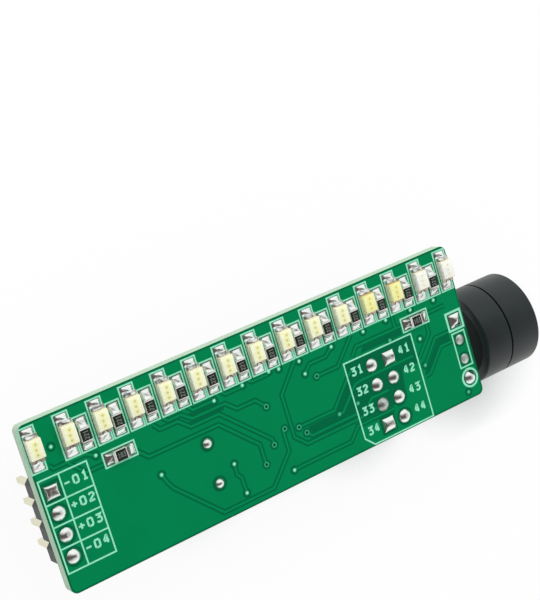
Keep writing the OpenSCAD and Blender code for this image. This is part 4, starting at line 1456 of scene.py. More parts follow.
@dataclass
class Fillet:
    """The solder from the outer end of a pad up to the top of a chip's end.

    Attributes:
        place: Middle of the chip's end on the pad, with the pad lying along +Y.
        width: Width of the pad.
        reach: Length of the pad past the chip.
        top: Height of the chip's end.
        overlap: Length of the solder on top of the chip's end.
        fold: Height by which it is lower on one side of its slanting fold.
        lift: Height by which it rises from the end's edge to its inner side.
        hand: Side on which the solder is higher.
        fold_w: Width of the fold.
        skin_t: Thickness of the solder on the end of a chip that has no lens.
        least_t: Height of the solder's thinnest edge.
        sink: Depth of its foot in the pad.
        waist: Share of its width that it loses at its outer end.
        hollow: Exponent of its slope, under 1 for a full one.
        crown: Share of its height that it loses at its sides.
        swell_scale: Scale of its slow waves across and along it.
        swell_share: Share of its height that these waves take.
        ripple_scale: Scale of its ripples.
        ripple_share: Height of its ripples.
        side_rise: Speed at which it gets thick from its sides.
        end_rise: Speed at which it gets thick from its ends.
        fold_place: Place of the fold across the pad, how much it wanders, and its slant.
    """

    place: Matrix
    width: float
    reach: float
    top: float
    overlap: float
    fold: float
    lift: float
    hand: int
    fold_w: float = 0.36
    skin_t: float = 0.045
    least_t: float = 0.02
    sink: float = 0.01
    waist: float = 0.12
    hollow: float = 0.9
    crown: float = 0.15
    swell_scale: Point = (0.9, 1.3)
    swell_share: float = 0.3
    ripple_scale: float = 2.6
    ripple_share: float = 0.04
    side_rise: float = 3.2
    end_rise: float = 5.0
    fold_place: tuple[float, float, float] = (-0.3, -0.4, 1.25)

    def surface(self, s: float, u: float) -> tuple[float, float, float]:
        """Gives one point of the solder's surface.

        Args:
            s: Place across the pad, from -1 to 1.
            u: Place along it, from 0 on the chip to 1 at the pad's end.

        Returns:
            X, Y and Z from the fillet's place.
        """
        seed = self.place.translation
        y = u * (self.reach + self.overlap) - self.overlap
        down = clamp(y / self.reach)
        swell = wave(seed.x + self.swell_scale[0] * s, seed.y + self.swell_scale[1] * y, 2.0)
        fine = self.ripple_scale
        ripple = self.ripple_share * wave(seed.x + fine * s, seed.y + fine * y, 4.0)
        # It runs out thin over the last third of each half, and over the last fifth of its length
        thin = min(1.0, self.side_rise * (1 - abs(s))) * min(1.0, self.end_rise * (1 - u))
        if y < 0:
            # On the chip's end it covers the metal to the sides, and a lamp's rises to the lens
            share = -y / self.overlap
            skin = self.lift * share + ripple if self.lift else self.skin_t * (1 - share * share)
            z = self.top + (0.3 + 0.7 * thin) * max(0.0, skin) * (1 + swell)
        else:
            # The fold slants over the pad, and leans its own way on each one
            start, wander, slant = self.fold_place
            lean = start + wander * wave(seed.x, seed.y, 9.0) + slant * down
            off = (self.hand * s + lean) * self.width / 2
            side = clamp(0.5 + off / self.fold_w)
            drop = 1 - side * side * (3 - 2 * side)
            drop *= min(1.0, self.end_rise * down) * (1 - down) ** 0.5
            slope = (1 - down) ** self.hollow * (1 - self.crown * s * s)
            height = self.top * slope * (1 + self.swell_share * swell * down + ripple)
            z = thin * max(0.0, height + self.fold * (0.3 * down - drop))
        return s * self.width / 2 * (1 - self.waist * down * down), y, self.least_t + z

    def add(self, bm: BMesh) -> None:
        """Adds the fillet to a mesh.

        Args:
            bm: The mesh that gets it.
        """
        made = bmesh.new()
        bmesh.ops.create_grid(made, x_segments=16, y_segments=20, size=0.5)
        for vert in made.verts:
            vert.co = self.surface(2 * vert.co.x, vert.co.y + 0.5)
        close_below(made, -self.sink)
        join(bm, made, self.place, 0)


@dataclass
class Solder:
    """Solder of the leaded parts and of the surface parts.

    Attributes:
        hole_fill: Depth to which the solder fills a hole.
        fill_r: Radius of that filling.
        foot: Depth of a dome's foot in its pad.
        steps: Number of steps round a dome.
        rings: Number of steps up a dome.
        fullness: Exponent of a dome's profile, larger for fuller shoulders.
        dome_lean: Distance that a dome's top may lean.
        lean_seed: Seed of that lean.
        dome_wave: Height by which a dome may be uneven.
        grid: Number of steps along a square joint.
        low_rise: Height under which a square joint is flat on top.
        facet: Sharpness of the four facets of a square joint.
        draw_in: Share by which the sides of a square joint are drawn in.
        edge_t: Height of the edge of a square joint.
        sink: Depth of its foot in the pad.
        fold: Height by which a fillet is lower on one side of its slanting fold.
        low_share: Share of fold and lift on the chips and on a lamp's lower end.
        lift: Height by which the solder on a lamp's upper end rises towards the lens.
        lamp_overlap: Length of solder on top of a lamp's end.
        chip_overlap: Length of solder on top of a chip's end.
    """

    hole_fill: float = 1.65
    fill_r: float = 0.3
    foot: float = 0.02
    steps: int = 40
    rings: int = 14
    fullness: float = 2.4
    dome_lean: float = 0.1
    lean_seed: int = 7
    dome_wave: float = 0.07
    grid: int = 28
    low_rise: float = 0.4
    facet: float = 5.0
    draw_in: float = 0.16
    edge_t: float = 0.03
    sink: float = 0.01
    fold: float = 0.24
    low_share: float = 0.3
    lift: float = 0.13
    lamp_overlap: float = 0.37
    chip_overlap: float = 0.16

    def build(self) -> None:
        """Builds the joints of the leaded parts and the fillets of the surface parts."""
        self.build_joints()
        self.build_fillets()

    def dome(self, pad: Pad, r: float) -> BMesh:
        """Makes a round dome of solder, leaning a little, as each one froze by itself.

        Args:
            pad: The pad that it stands on.
            r: Radius of the pad.

        Returns:
            The dome, round its own foot.
        """
        foot = -self.foot
        profile = [(0.0, -self.hole_fill), (self.fill_r, -self.hole_fill), (self.fill_r, foot), (r, foot)]
        for k in range(self.rings + 1):
            share = 1 - k / self.rings
            profile.append((r * share, pad.rise * (1 - share**self.fullness)))
        made = bmesh.new()
        turn_profile(made, profile, Matrix.Identity(4), self.steps)
        lean = self.dome_lean * noise.noise_vector(Vector((pad.x, pad.y, 0.0)))
        for vert in made.verts:
            share = max(0.0, vert.co.z / pad.rise)
            swell = self.dome_wave * wave(pad.x + 1.4 * vert.co.x, pad.y + 1.4 * vert.co.y, 5.0)
            vert.co += share * Vector((lean.x, lean.y, swell))
        return made

    def pillow(self, pad: Pad, r: float) -> BMesh:
        """Makes the joint of a square pad, run out thin to the corners.

        A peaked one has four facets. The others are ridges along X, and a low one is nearly
        flat on top, as where the solder has spread over the whole pad.

        Args:
            pad: The pad that it stands on.
            r: Half of the pad's side.

        Returns:
            The joint, round its own foot.
        """
        made = bmesh.new()
        bmesh.ops.create_grid(made, x_segments=self.grid, y_segments=self.grid, size=r)
        steep = 6.0 if pad.rise < self.low_rise else 2.0
        for vert in made.verts:
            x, y, _ = vert.co
            u, v = x / r, y / r
            if pad.peaked:
                out = min(1.0, (abs(u) ** self.facet + abs(v) ** self.facet) ** (1 / self.facet))
                bulge = 1 - out**1.7
            else:
                bulge = (1 - abs(v) ** steep) * max(0.0, 1 - abs(u) ** 12) ** 0.7 * (1 + 0.16 * u)
            swell = 1 + 0.15 * wave(pad.x + 1.6 * x, pad.y + 1.6 * y, 7.0)
            # The sides are drawn in between the corners
            drawn = (0.5 if pad.peaked else 1.0) * self.draw_in
            vert.co.x *= 1 - drawn * (1 - v * v)
            vert.co.y *= 1 - 0.2 * self.draw_in * (1 - u * u)
            vert.co.z = self.edge_t + (pad.rise - self.edge_t) * bulge * swell
        close_below(made, -self.sink)
        return made

    def build_joints(self) -> None:
        """Makes the joints of both headers, the crystal, the sounder and the two filled pads."""
        level = node_box("tinned_pads").high.z
        plan = PadPlan()
        bm = bmesh.new()
        # Without a seed this noise starts from the clock
        noise.seed_set(self.lean_seed)
        for pad in plan.pads():
            shape = self.pillow if pad.kind is PadKind.SQUARE else self.dome
            finish = 2 if pad.kind is PadKind.FILLED else int(pad.dull)
            join(bm, shape(pad, plan.reach(pad)), Matrix.Translation((pad.x, pad.y, level)), finish)
        finishes = [SOLDER, DULL_SOLDER, FROSTED_SOLDER]
        finish_piece("leaded_joints", bm, finishes, ("through_hole_solder",))

    def build_fillets(self) -> None:
        """Makes the solder of every surface part, each in the place of its plain one."""
        names = LAMPS + LAMP_RESISTORS + CROSS_RESISTORS + ["shunt_resistor"]
        chips = [(name, node_box(name)) for name in names]
        chips += [("capacitor", solid) for solid in solids_of("ceramic_capacitors")]
        bm = bmesh.new()
        for solid in solids_of("surface_solder"):
            name, chip = min(chips, key=lambda one: (one[1].middle - solid.middle).length)
            self.fillet(solid, chip, name in LAMPS).add(bm)
        finish_piece("chip_fillets", bm, [SOLDER], ("surface_solder",))

    def fillet(self, solid: Box, chip: Box, is_lamp: bool) -> Fillet:
        """Fits a fillet between a chip's end and its pad.

        Args:
            solid: The box of the plain solder at that end.
            chip: The box of the chip.
            is_lamp: Whether the chip is a lamp.

        Returns:
            The fillet.
        """
        on_face = solid.middle.z > node_box("circuit_board").middle.z
        way = solid.middle - chip.middle
        along_y = abs(way.y) > abs(way.x)
        upper = not along_y or way.y > 0
        width, reach = (solid.size.x, solid.size.y) if along_y else (solid.size.y, solid.size.x)
        ahead = (0, math.copysign(1, way.y), 0) if along_y else (math.copysign(1, way.x), 0, 0)
        heading, up = Vector(ahead), Vector((0, 0, 1 if on_face else -1))
        start = solid.middle - heading * reach / 2
        start.z = solid.low.z if on_face else solid.high.z
        turn = Matrix((heading.cross(up), heading, up)).transposed().to_4x4()
        # It climbs to the top of the end, a little less at a lower end, and less again below
        top = solid.size.z + 0.04 if is_lamp else chip.size.z
        climb = top if upper else 0.85 * top
        if not on_face:
            climb = min(0.75 * chip.size.z, 0.8 * reach)
        return Fillet(
            Matrix.Translation(start) @ turn,
            width,
            reach,
            climb,
            overlap=self.lamp_overlap if is_lamp else self.chip_overlap,
            fold=self.fold * (1.0 if upper and is_lamp else self.low_share),
            lift=is_lamp * self.lift * (1.0 if upper else self.low_share),
            hand=1 if upper else -1,
        )


@dataclass
class Sounder:
    """The sounder: moulded base and cap with the seam between them, and what they hold.

    Attributes:
        radius: Outer radius.
        length: Length from base to far face.
        seam: Distance of the seam from the base.
        seam_cut: Half of the width of the groove along the seam.
        seam_depth: Depth of that groove.
        rim: Rounding of the outer rims.
        rim_steps: Number of steps round a rim.
        wall: Wall of the cap.
        base_wall: Wall of the base.
        recess: Depth of the recess in the base.
        floor_t: Thickness of the base's floor.
        ledge: Width and depth of the step that carries the diaphragm.
        spigot_t: Thickness of the cap's spigot.
        spigot_l: Length of the spigot in the base.
        hole_r: Radius of the sound hole.
        hole_break: Size of the broken edge of the sound hole.
        neck_wall: Wall of the tube behind the sound hole.
        neck_l: Length of that tube.
        steps: Number of steps in a full turn.
    """

    radius: float = 6.0
    length: float = 8.5
    seam: float = 3.94
    seam_cut: float = 0.12
    seam_depth: float = 0.35
    rim: float = 0.22
    rim_steps: int = 5
    wall: float = 0.8
    base_wall: float = 1.2
    recess: float = 0.55
    floor_t: float = 0.55
    ledge: float = 0.5
    spigot_t: float = 0.4
    spigot_l: float = 0.28
    hole_r: float = 1.3
    hole_break: float = 0.1
    neck_wall: float = 0.5
    neck_l: float = 1.3
    steps: int = 128

    def __post_init__(self) -> None:
        """Takes a hair off the radius, so that the facets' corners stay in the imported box."""
        self.radius *= math.cos(math.pi / self.steps) ** 2

    def round_rim(self, z: float, inward: int) -> list[Point]:
        """Gives the points of an outer rim, rounded towards a face.

        Args:
            z: Distance of the face from the base.
            inward: 1 for the cap's face and -1 for the base's.

        Returns:
            Radius and distance from the base of each point, from the side to the face.
        """
        turns = [math.pi / 2 * k / self.rim_steps for k in range(self.rim_steps + 1)]
        arc = [(self.rim * (1 - math.cos(t)), self.rim * (1 - math.sin(t))) for t in turns]
        return [(self.radius - x, z - inward * y) for x, y in arc]

    def build(self) -> None:
        """Builds base and cap, and dresses what lies inside and behind them."""
        self.turn_shell("base", self.base_profile())
        self.turn_shell("cap", self.cap_profile())
        dress(SOUNDER_RESIN, "sounder_resin")
        dress(LEAD_WIRE, "sounder_leads")
        dress(CORE_STEEL, "sounder_core")
        dress(COIL_ENAMEL, "sounder_coil")
        dress(MAGNET_FERRITE, "sounder_magnet")
        dress(DIAPHRAGM_STEEL, "sounder_diaphragm")

    def turn_shell(self, half: str, profile: list[Point]) -> None:
        """Turns one half of the case round the sounder's axis.

        Args:
            half: The last word of its node's name.
            profile: Its radius and its distance from the base, from point to point.
        """
        box = node_box("sounder_base")
        foot = Matrix.Translation((box.low.x, box.middle.y, box.middle.z))
        axis = foot @ Matrix.Rotation(math.pi / 2, 4, "Y")
        bm = bmesh.new()
        turn_profile(bm, profile, axis, self.steps)
        finish_piece(
            f"moulded_sounder_{half}", bm, [SOUNDER_PLASTIC], (f"sounder_{half}",)
        )

    def base_profile(self) -> list[Point]:
        """Gives the base with its recess and the step that carries the diaphragm."""
        bore = self.radius - self.base_wall
        groove = self.radius - self.seam_depth
        return [
            (0, self.recess),
            (bore, self.recess),
            (bore, 0.0),
            *reversed(self.round_rim(0.0, -1)),
            (self.radius, self.seam - self.seam_cut),
            (groove, self.seam - self.seam_cut / 2),
            (groove, self.seam),
            (bore + self.ledge, self.seam),
            (bore + self.ledge, self.seam - self.ledge),
            (bore, self.seam - self.ledge),
            (bore, self.recess + self.floor_t),
            (0, self.recess + self.floor_t),
        ]

    def cap_profile(self) -> list[Point]:
        """Gives the cap with its sound hole, the tube behind it and the spigot in the base."""
        inner, top = self.radius - self.wall, self.length - self.wall
        groove = self.radius - self.seam_depth
        neck = self.hole_r + self.neck_wall
        spigot = self.radius - self.base_wall + self.spigot_t
        return [
            (spigot - self.spigot_t, self.seam - self.spigot_l),
            (spigot, self.seam - self.spigot_l),
            (spigot, self.seam),
            (groove, self.seam),
            (groove, self.seam + self.seam_cut / 2),
            (self.radius, self.seam + self.seam_cut),
            *self.round_rim(self.length, 1),
            (self.hole_r + self.hole_break, self.length),
            (self.hole_r, self.length - self.hole_break),
            (self.hole_r, top - self.neck_l),
            (neck, top - self.neck_l),
            (neck, top),
            (inner, top),
            (inner, self.seam + self.wall),
            (spigot - self.spigot_t, self.seam + self.wall),
        ]


@dataclass
class Headers:
    """The two pin headers and the crystal, which keep their solids and get their finishes."""

    def build(self) -> None:
        """Dresses plastic, pins, can and leads."""
        dress(HEADER_PLASTIC, "input_header", "programming_header")
        dress(PIN_GOLD, "input_pins", "programming_pins")
        dress(CRYSTAL_CAN, "crystal_can")
        dress(CRYSTAL_FLANGE, "crystal_base")
        dress(LEAD_WIRE, "crystal_leads")


@dataclass
class Underside:
    """The parts on the underside: controller, amplifier, regulator, driver and capacitors.

    Attributes:
        transistor_feet: Length of the transistor's feet, which point along Y.
        diode_feet: Length of the diode's feet, which point along X.
        capacitor_band: Length of the capacitors' metal ends.
    """

    transistor_feet: float = 0.55
    diode_feet: float = 0.5
    capacitor_band: float = 0.45

    def build(self) -> None:
        """Dresses the moulded parts and their leads."""
        dress(MOULDING, "controller_body", "amplifier_body", "regulator_body")
        dress(LEAD_WIRE, "controller_leads", "amplifier_leads", "regulator_leads")
        self.dress_with_feet("driver_transistor", 0.0, self.transistor_feet)
        self.dress_with_feet("flyback_diode", self.diode_feet, 0.0)
        self.build_capacitors()

    def build_capacitors(self) -> None:
        """Builds each capacitor with its metal ends in the place of its plain solid."""
        chip = ChipPart(band=self.capacitor_band, body=CAPACITOR_CERAMIC, glaze=None)
        bm = bmesh.new()
        for solid in solids_of("ceramic_capacitors"):
            along_x = solid.size.x > solid.size.y
            size = Vector((solid.size.y, solid.size.x, solid.size.z)) if along_x else solid.size
            foot = Matrix.Translation((solid.middle.x, solid.middle.y, solid.high.z))
            turn = Matrix.Rotation(math.pi, 4, "Y") @ Matrix.Rotation(math.pi / 2 * along_x, 4, "Z")
            chip.add(bm, size, foot @ turn)
        slot, nodes = "capacitor_ceramic", ("ceramic_capacitors",)
        finish_piece("dressed_capacitors", bm, chip.finishes()[:2], nodes)

    def dress_with_feet(self, node: str, foot_x: float, foot_y: float) -> None:
        """Dresses a part whose body and feet are one solid.

        Args:
            node: The model's node.
            foot_x: Length of the feet along X.
            foot_y: Length of the feet along Y.
        """
        box = node_box(node)
        half = (box.size.x / 2 - foot_x, box.size.y / 2 - foot_y)
        finish = BodyWithFeet(
            f"{node}_compound",
            MOULDING.colour,
            roughness=MOULDING.roughness,
            middle=(box.middle.x * MM, box.middle.y * MM),
            half=(half[0] * MM, half[1] * MM),
        )
        dress(finish, node)


@dataclass
class Studio:
    """Camera, floor and light. Places in the room and on the floor are in metres.

    Attributes:
        eye: Place of the camera, in millimetres.
        aim: The point that it looks at, in millimetres.
        roll_deg: Its turn about its own axis.
        lens: Focal length on the sensor.
        sensor: Width of the sensor.
        sight: Nearest and farthest distance that the camera sees.
        floor_colour: Colour of the floor.
        floor_size: Half of the floor's side.
        floor_drop: Distance of the floor under the model.
        floor_glow: Share of the floor's white that takes only the shade close to the object.
        sweep_end: X between which the floor gives way to the dark of the room, in gloss.
        shade_reach: How far above the floor a thing may stand to shade it.
        shade_power: How fast that shade darkens.
        shade_colour: Colour of the deepest shade.
        shade_y: Y between which that shade comes up, away from the light.
        shade_x: X between which it comes up to the right.
        tent_light: Strength of the surroundings as a light.
        lamp_watts: Power of the lamp.
        lamp_size: Side of the lamp.
        lamp_place: Place of the lamp, which looks at the model.
        dark: Colour of the dark side of the room.
        band_y: Y of the direction in which the middle of the dark band lies.
        band_x: X of the directions between which its width changes.
        band_half: Half of its width at these two.
        band_edge: Shares of that half between which it fades out.
        band_end: X of the directions between which it ends.
    """

    eye: tuple[float, float, float] = (-79.365, 45.22, 156.69)
    aim: tuple[float, float, float] = (-0.872, 11.865, 10.19)
    roll_deg: float = 93.38
    lens: float = 88.46
    sensor: float = 36.0
    sight: Point = (0.01, 10.0)
    floor_colour: str = "#FAFAFA"
    floor_size: float = 2.0
    floor_drop: float = 0.00002
    floor_glow: float = 0.93
    sweep_end: Point = (-0.3, -0.1)
    shade_reach: float = 0.01
    shade_power: float = 2.6
    shade_colour: str = "#5C7672"
    shade_y: Point = (-0.008, 0.0)
    shade_x: Point = (-0.032, 0.0)
    tent_light: float = 0.7
    lamp_watts: float = 0.9
    lamp_size: float = 0.28
    lamp_place: tuple[float, float, float] = (0.1, 0.3, 0.3)
    dark: str = "#574C4A"
    band_y: float = -0.06
    band_x: Point = (-1.0, 0.7)
    band_half: Point = (0.8, 0.58)
    band_edge: Point = (0.3, 1.3)
    band_end: Point = (0.1, 1.1)

    def build(self) -> None:
        """Sets up everything that isn't the object."""
        self.set_camera()
        self.lay_floor()
        self.light_world()
        self.hang_lamp()

    def set_camera(self) -> None:
        """Puts the camera where the photograph was taken from."""
        data = bpy.data.cameras.new("camera")
        data.lens, data.sensor_width = self.lens, self.sensor
        data.clip_start, data.clip_end = self.sight
        camera = add_object("camera", data)
        look = Vector(self.aim) - Vector(self.eye)
        turn = look.to_track_quat("-Z", "Y") @ Quaternion((0, 0, 1), math.radians(self.roll_deg))
        camera.matrix_world = Matrix.Translation(Vector(self.eye) * MM) @ turn.to_matrix().to_4x4()
        bpy.context.scene.camera = camera

    def lay_floor(self) -> None:
        """Lays a pale floor that stays white to the camera but keeps the object's shadow."""
        bm = bmesh.new()
        bmesh.ops.create_grid(bm, x_segments=1, y_segments=1, size=self.floor_size)
        bmesh.ops.translate(bm, verts=bm.verts, vec=(0, 0, -self.floor_drop))
        mesh = bpy.data.meshes.new("floor")
        bm.to_mesh(mesh)
        bm.free()
        add_object("floor", mesh)
        made = bpy.data.materials.new("matt_white_sweep")
        made.use_nodes = True
        tree = made.node_tree
        tree.nodes.clear()
        rays = add_node(tree, "LightPath").outputs
        split = axes(tree, object_place(tree))
        # In gloss the sweep ends to the left, where the dark of the room begins
        near = remap(tree, split["X"], self.sweep_end, soft=True)
        lit = calc(tree, "MAXIMUM", near, rays["Is Camera Ray"])
        tint = blend(tree, lit, self.dark, self.close_shade(tree, split))
        seen = calc(tree, "MULTIPLY", rays["Is Camera Ray"], self.floor_glow)
        share = calc(tree, "MAXIMUM", seen, rays["Is Glossy Ray"])
        matt = add_node(tree, "BsdfDiffuse", {"Color": linear(self.floor_colour)}).outputs[0]
        glow = add_node(tree, "Emission", {"Color": tint, "Strength": 1.0}).outputs[0]
        mixed = add_node(tree, "MixShader", {0: share, 1: matt, 2: glow}).outputs[0]
        add_node(tree, "OutputMaterial", {"Surface": mixed})
        mesh.materials.append(made)

    def close_shade(self, tree: Tree, split: bpy.types.NodeOutputs) -> Socket:
        """Shades the glow close under the board and the sounder, away from the light.

        Args:
            tree: The node tree of the floor.
            split: The place on the floor, by axis.

        Returns:
            The shade's colour, white where there is none.
        """
        away = remap(tree, split["Y"], self.shade_y, (1.0, 0.0), soft=True)
        right = remap(tree, split["X"], self.shade_x, soft=True)
        deep = calc(tree, "MULTIPLY", away, right)
        open_sky = add_node(tree, "AmbientOcclusion", {"Distance": self.shade_reach}).outputs["AO"]
        light = calc(tree, "POWER", open_sky, self.shade_power)
        return blend(tree, deep, WHITE, blend(tree, light, self.shade_colour, WHITE))

    def dark_band(self, tree: Tree) -> Socket:
        """Gives how much of the dark side of the room shows in a direction.

        The band runs from the left horizon over the board and ends beyond it, and is wider
        to the left, as the open front of a light tent is.

        Args:
            tree: The node tree of the world.

        Returns:
            A share from 0 to 1.
        """
        split = axes(tree, add_node(tree, "TexCoord").outputs["Generated"])
        off = calc(tree, "ABSOLUTE", calc(tree, "SUBTRACT", split["Y"], self.band_y))
        half = remap(tree, split["X"], self.band_x, self.band_half)
        inside = remap(tree, calc(tree, "DIVIDE", off, half), self.band_edge, (1.0, 0.0), soft=True)
        short_of = remap(tree, split["X"], self.band_end, (1.0, 0.0), soft=True)
        return calc(tree, "MULTIPLY", inside, short_of)

    def light_world(self) -> None:
        """Makes the surroundings white to the camera, softer as a light, and banded in gloss."""
        world = bpy.data.worlds.new("white_tent")
        bpy.context.scene.world = world
        world.use_nodes = True
        tree = world.node_tree
        tree.nodes.clear()
        rays = add_node(tree, "LightPath").outputs
        dark = calc(tree, "MULTIPLY", self.dark_band(tree), rays["Is Glossy Ray"])
        clear = rays["Is Camera Ray"]
        for kind in ("Is Glossy Ray", "Is Transmission Ray"):
            clear = calc(tree, "MAXIMUM", clear, rays[kind])
        strength = remap(tree, clear, (0.0, 1.0), (self.tent_light, 1.0))
        inputs = {"Color": blend(tree, dark, WHITE, self.dark), "Strength": strength}
        sky = add_node(tree, "Background", inputs).outputs[0]
        add_node(tree, "OutputWorld", {"Surface": sky})

    def hang_lamp(self) -> None:
        """Hangs one broad soft lamp beyond the upper left corner of the board."""
        data = bpy.data.lights.new("soft_box", "AREA")
        data.shape = "SQUARE"
        data.size = self.lamp_size
        data.energy = self.lamp_watts
        lamp = add_object("soft_box", data)
        lamp.visible_glossy = False
        place = Vector(self.lamp_place)
        turn = (-place).to_track_quat("-Z", "Y")
        lamp.matrix_world = Matrix.Translation(place) @ turn.to_matrix().to_4x4()


# Lines and places on the board, as TrackSide measures them
FACE_TRACKS = [
    [(10.6, -0.2), (11.75, 0.98), (20.95, 0.98), (25.2, 5.2), (25.2, 7.75)],
    [(12.5, 3.5), (12.9, 4.6), (13.4, 5.5), (18.4, 10.7), (25.3, 10.7), (28.55, 7.45), (28.55, 4.85)],
    [(13.3, -2.2), (14.0, -1.35), (16.3, -1.35), (17.65, -0.15), (21.4, -0.15), (26.95, 5.3), (26.95, 6.0)],
    [(17.8, -2.6), (18.5, -1.85), (21.3, -1.85)],
    [
        (14.6, -2.5), (15.2, -1.9), (16.9, -1.9), (18.1, -0.97), (22.5, -0.97), (23.75, 0.17),
        (26.25, 0.17), (27.45, 1.4),
    ],
    [(22.3, -2.5), (22.9, -1.98), (25.2, -1.98)],
    [(26.0, -2.5), (26.5, -2.05), (28.7, -2.05)],
    [(21.35, 6.0), (21.3, 7.3), (21.75, 7.85), (21.8, 9.8)],
    [(28.5, 9.8), (36.9, 9.8), (38.4, 8.4), (44.0, 8.4)],
    [(32.7, -2.3), (29.75, 0.9), (29.75, 6.2), (31.2, 7.62), (39.5, 7.62), (41.6, 7.3)],
    [(31.5, 6.35), (32.1, 6.95), (38.7, 6.95)],
    [(30.7, 5.35), (35.9, 5.35), (38.8, 2.4), (39.6, 1.7)],
    [(36.4, 6.05), (37.0, 6.0), (39.6, 3.5), (40.6, 3.35), (48.6, 3.35)],
    [(40.6, 6.5), (41.3, 5.95), (43.9, 5.95)],
    [(33.5, -0.25), (34.4, -1.15), (36.8, -1.15), (37.9, -1.95)],
    [(34.9, 0.6), (38.0, 0.6), (40.9, -2.3)],
    [(40.2, 0.3), (41.2, -0.75), (48.2, -0.75)],
    [(47.2, -2.6), (47.2, -0.9)],
    [(52.2, -0.87), (55.0, -0.87)],
    [(49.95, 5.1), (52.4, 2.45), (54.6, 2.45)],
    [(51.7, 0.3), (51.7, 1.6), (49.4, 3.95)],
    [(49.6, 6.45), (50.4, 6.3), (52.9, 3.75), (54.7, 3.75)],
    [(2.6, -2.3), (4.3, -0.35), (6.7, -0.35)],
    [(0.55, -2.75), (1.0, -2.25), (4.9, -2.25), (5.95, -1.65)],
]
FACE_PATCHES = [
    [(31.9, 5.75), (36.0, 5.75), (38.9, 2.7), (38.9, 6.75), (32.2, 6.75)],
    [(42.2, -0.55), (47.9, -0.55), (47.9, 0.3), (41.5, 0.3)],
    [(39.0, 0.6), (46.3, 0.6), (49.0, 0.6), (49.0, 4.4), (46.5, 4.6), (46.1, 8.0), (39.0, 8.0)],
    [(17.3, -0.75), (22.3, -0.75), (22.1, -0.35), (17.3, -0.35)],
    [(17.6, -1.65), (21.6, -1.65), (21.6, -1.2), (17.4, -1.2)],
    [(50.3, 5.3), (52.7, 2.7), (54.5, 2.7), (54.5, 3.5), (52.7, 3.5), (50.2, 6.1), (49.6, 6.1)],
    [(10.0, -2.55), (56.0, -2.55), (56.0, -2.36), (10.0, -2.36)],
]
PLUGGED_HOLES = [
    (1.5, -4.55), (5.95, -1.65), (21.3, -1.8), (25.25, -2.1), (29.0, -2.3), (30.35, -2.1),
    (33.2, -1.95), (37.9, -1.95), (33.5, -0.25), (42.7, -2.05), (46.2, -2.2), (50.0, -2.1),
    (53.65, -2.05), (12.5, 3.5), (21.35, 6.0), (21.8, 9.8),
    (28.5, 9.85), (50.25, 1.75),
]
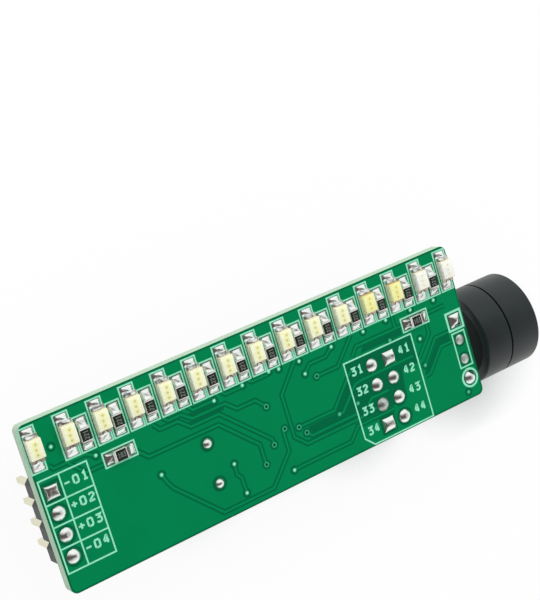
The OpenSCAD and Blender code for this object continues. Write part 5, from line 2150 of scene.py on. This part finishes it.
UNDERSIDE_TRACKS = [
    [(14.53, 4.465), (16.0, 4.9), (27.2, 4.9), (27.6, 4.58), (28.33, 4.58)],
    [(18.92, 2.46), (21.6, 2.46), (22.7, 3.635), (25.6, 3.635), (27.0, 3.78), (28.33, 3.78)],
    [(18.92, 7.34), (22.2, 7.34), (23.2, 6.165), (26.0, 6.165), (26.9, 5.38), (28.33, 5.38)],
    [
        (8.015, -2.945), (8.6, -3.445), (18.9, -3.445), (20.5, -3.2), (28.4, -3.2), (29.2, -3.045),
        (31.58, -3.045),
    ],
    [(31.555, -1.045), (31.555, -2.6)],
    [(29.955, -1.045), (29.955, -1.5), (29.0, -2.3)],
    [(30.755, -1.045), (30.755, -1.7), (30.35, -2.1)],
    [(33.155, -1.045), (33.155, -1.95)],
    [(35.555, -1.045), (36.4, -1.95), (37.9, -1.95)],
    [(21.3, -1.8), (22.4, -0.7), (26.5, -0.7), (27.5, 0.58), (28.33, 0.58)],
    [(42.58, 2.22), (40.3, 2.22), (39.3, 2.98), (37.18, 2.98)],
    [(42.58, 4.76), (40.5, 4.76), (39.5, 3.78), (37.18, 3.78)],
    [(42.58, 7.3), (40.9, 7.3), (38.5, 4.9), (38.0, 4.58), (37.18, 4.58)],
    [(45.12, 2.22), (43.85, 0.95), (39.8, 0.95), (38.5, 2.18), (37.18, 2.18)],
    [(45.12, 9.84), (44.0, 10.9), (37.3, 10.9), (34.755, 8.7), (34.755, 7.805)],
    [(49.975, 7.155), (48.6, 8.55), (38.4, 8.55), (37.4, 9.1), (36.0, 9.1), (35.555, 8.6), (35.555, 7.805)],
    [(50.92, 5.305), (50.92, 3.3), (52.515, 2.2), (52.515, 1.63), (54.2, 1.43), (55.88, 1.43)],
    [(49.32, 1.63), (49.32, -1.5), (47.4, -3.4), (35.6, -3.4), (33.93, -3.045)],
    [(51.87, 7.155), (53.3, 8.6), (54.2, 9.05), (55.88, 9.05)],
    [(8.78, 4.465), (7.7, 4.465), (6.3, 6.0), (5.5, 6.9)],
    [(8.78, 3.195), (7.6, 3.195), (6.3, 1.8), (5.5, 0.9)],
    [(32.355, 7.805), (32.355, 8.9), (31.58, 9.6)],
    [(33.155, 7.805), (33.155, 8.9), (33.93, 9.6)],
]
UNDERSIDE_WIDE = [
    [(0.0, 2.54), (1.7, 2.54), (3.4, 0.9), (5.1, 0.9)],
    [(0.0, 5.08), (1.7, 5.08), (3.4, 6.75), (5.1, 6.75)],
]
FAINT_HOLES = [(36.4, 6.05), (39.25, 5.8), (46.0, 0.35), (49.95, 5.1), (55.1, 10.7)]
OPEN_HOLES = [
    (34.9, 0.6), (27.4, 1.4), (28.85, 4.77), (30.7, 5.35), (31.5, 6.35), (26.95, 6.0), (25.25, 7.75),
]


def main() -> None:
    """Builds the sub-assemblies in order."""
    logging.basicConfig(level=logging.INFO, format="%(name)s: %(message)s")
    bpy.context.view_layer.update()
    bpy.context.scene.view_settings.view_transform = "Standard"
    Studio().build()
    dress(MASK, "circuit_board")
    dress(PAD_TIN, "tinned_pads")
    kinds = ((ViaKind.PLUGGED, PLUGGED_HOLES), (ViaKind.FAINT, FAINT_HOLES), (ViaKind.OPEN, OPEN_HOLES))
    holes = [(x, y, kind) for kind, places in kinds for x, y in places]
    TrackSide(Side.FACE, FACE_TRACKS, FACE_PATCHES, holes).build()
    TrackSide(Side.UNDERSIDE, UNDERSIDE_TRACKS, [], holes, UNDERSIDE_WIDE).build()
    for assembly in (PrintedLabels, LampBar, Resistors, Solder, Sounder, Headers, Underside):
        assembly().build()


if __name__ == "__main__":
    main()
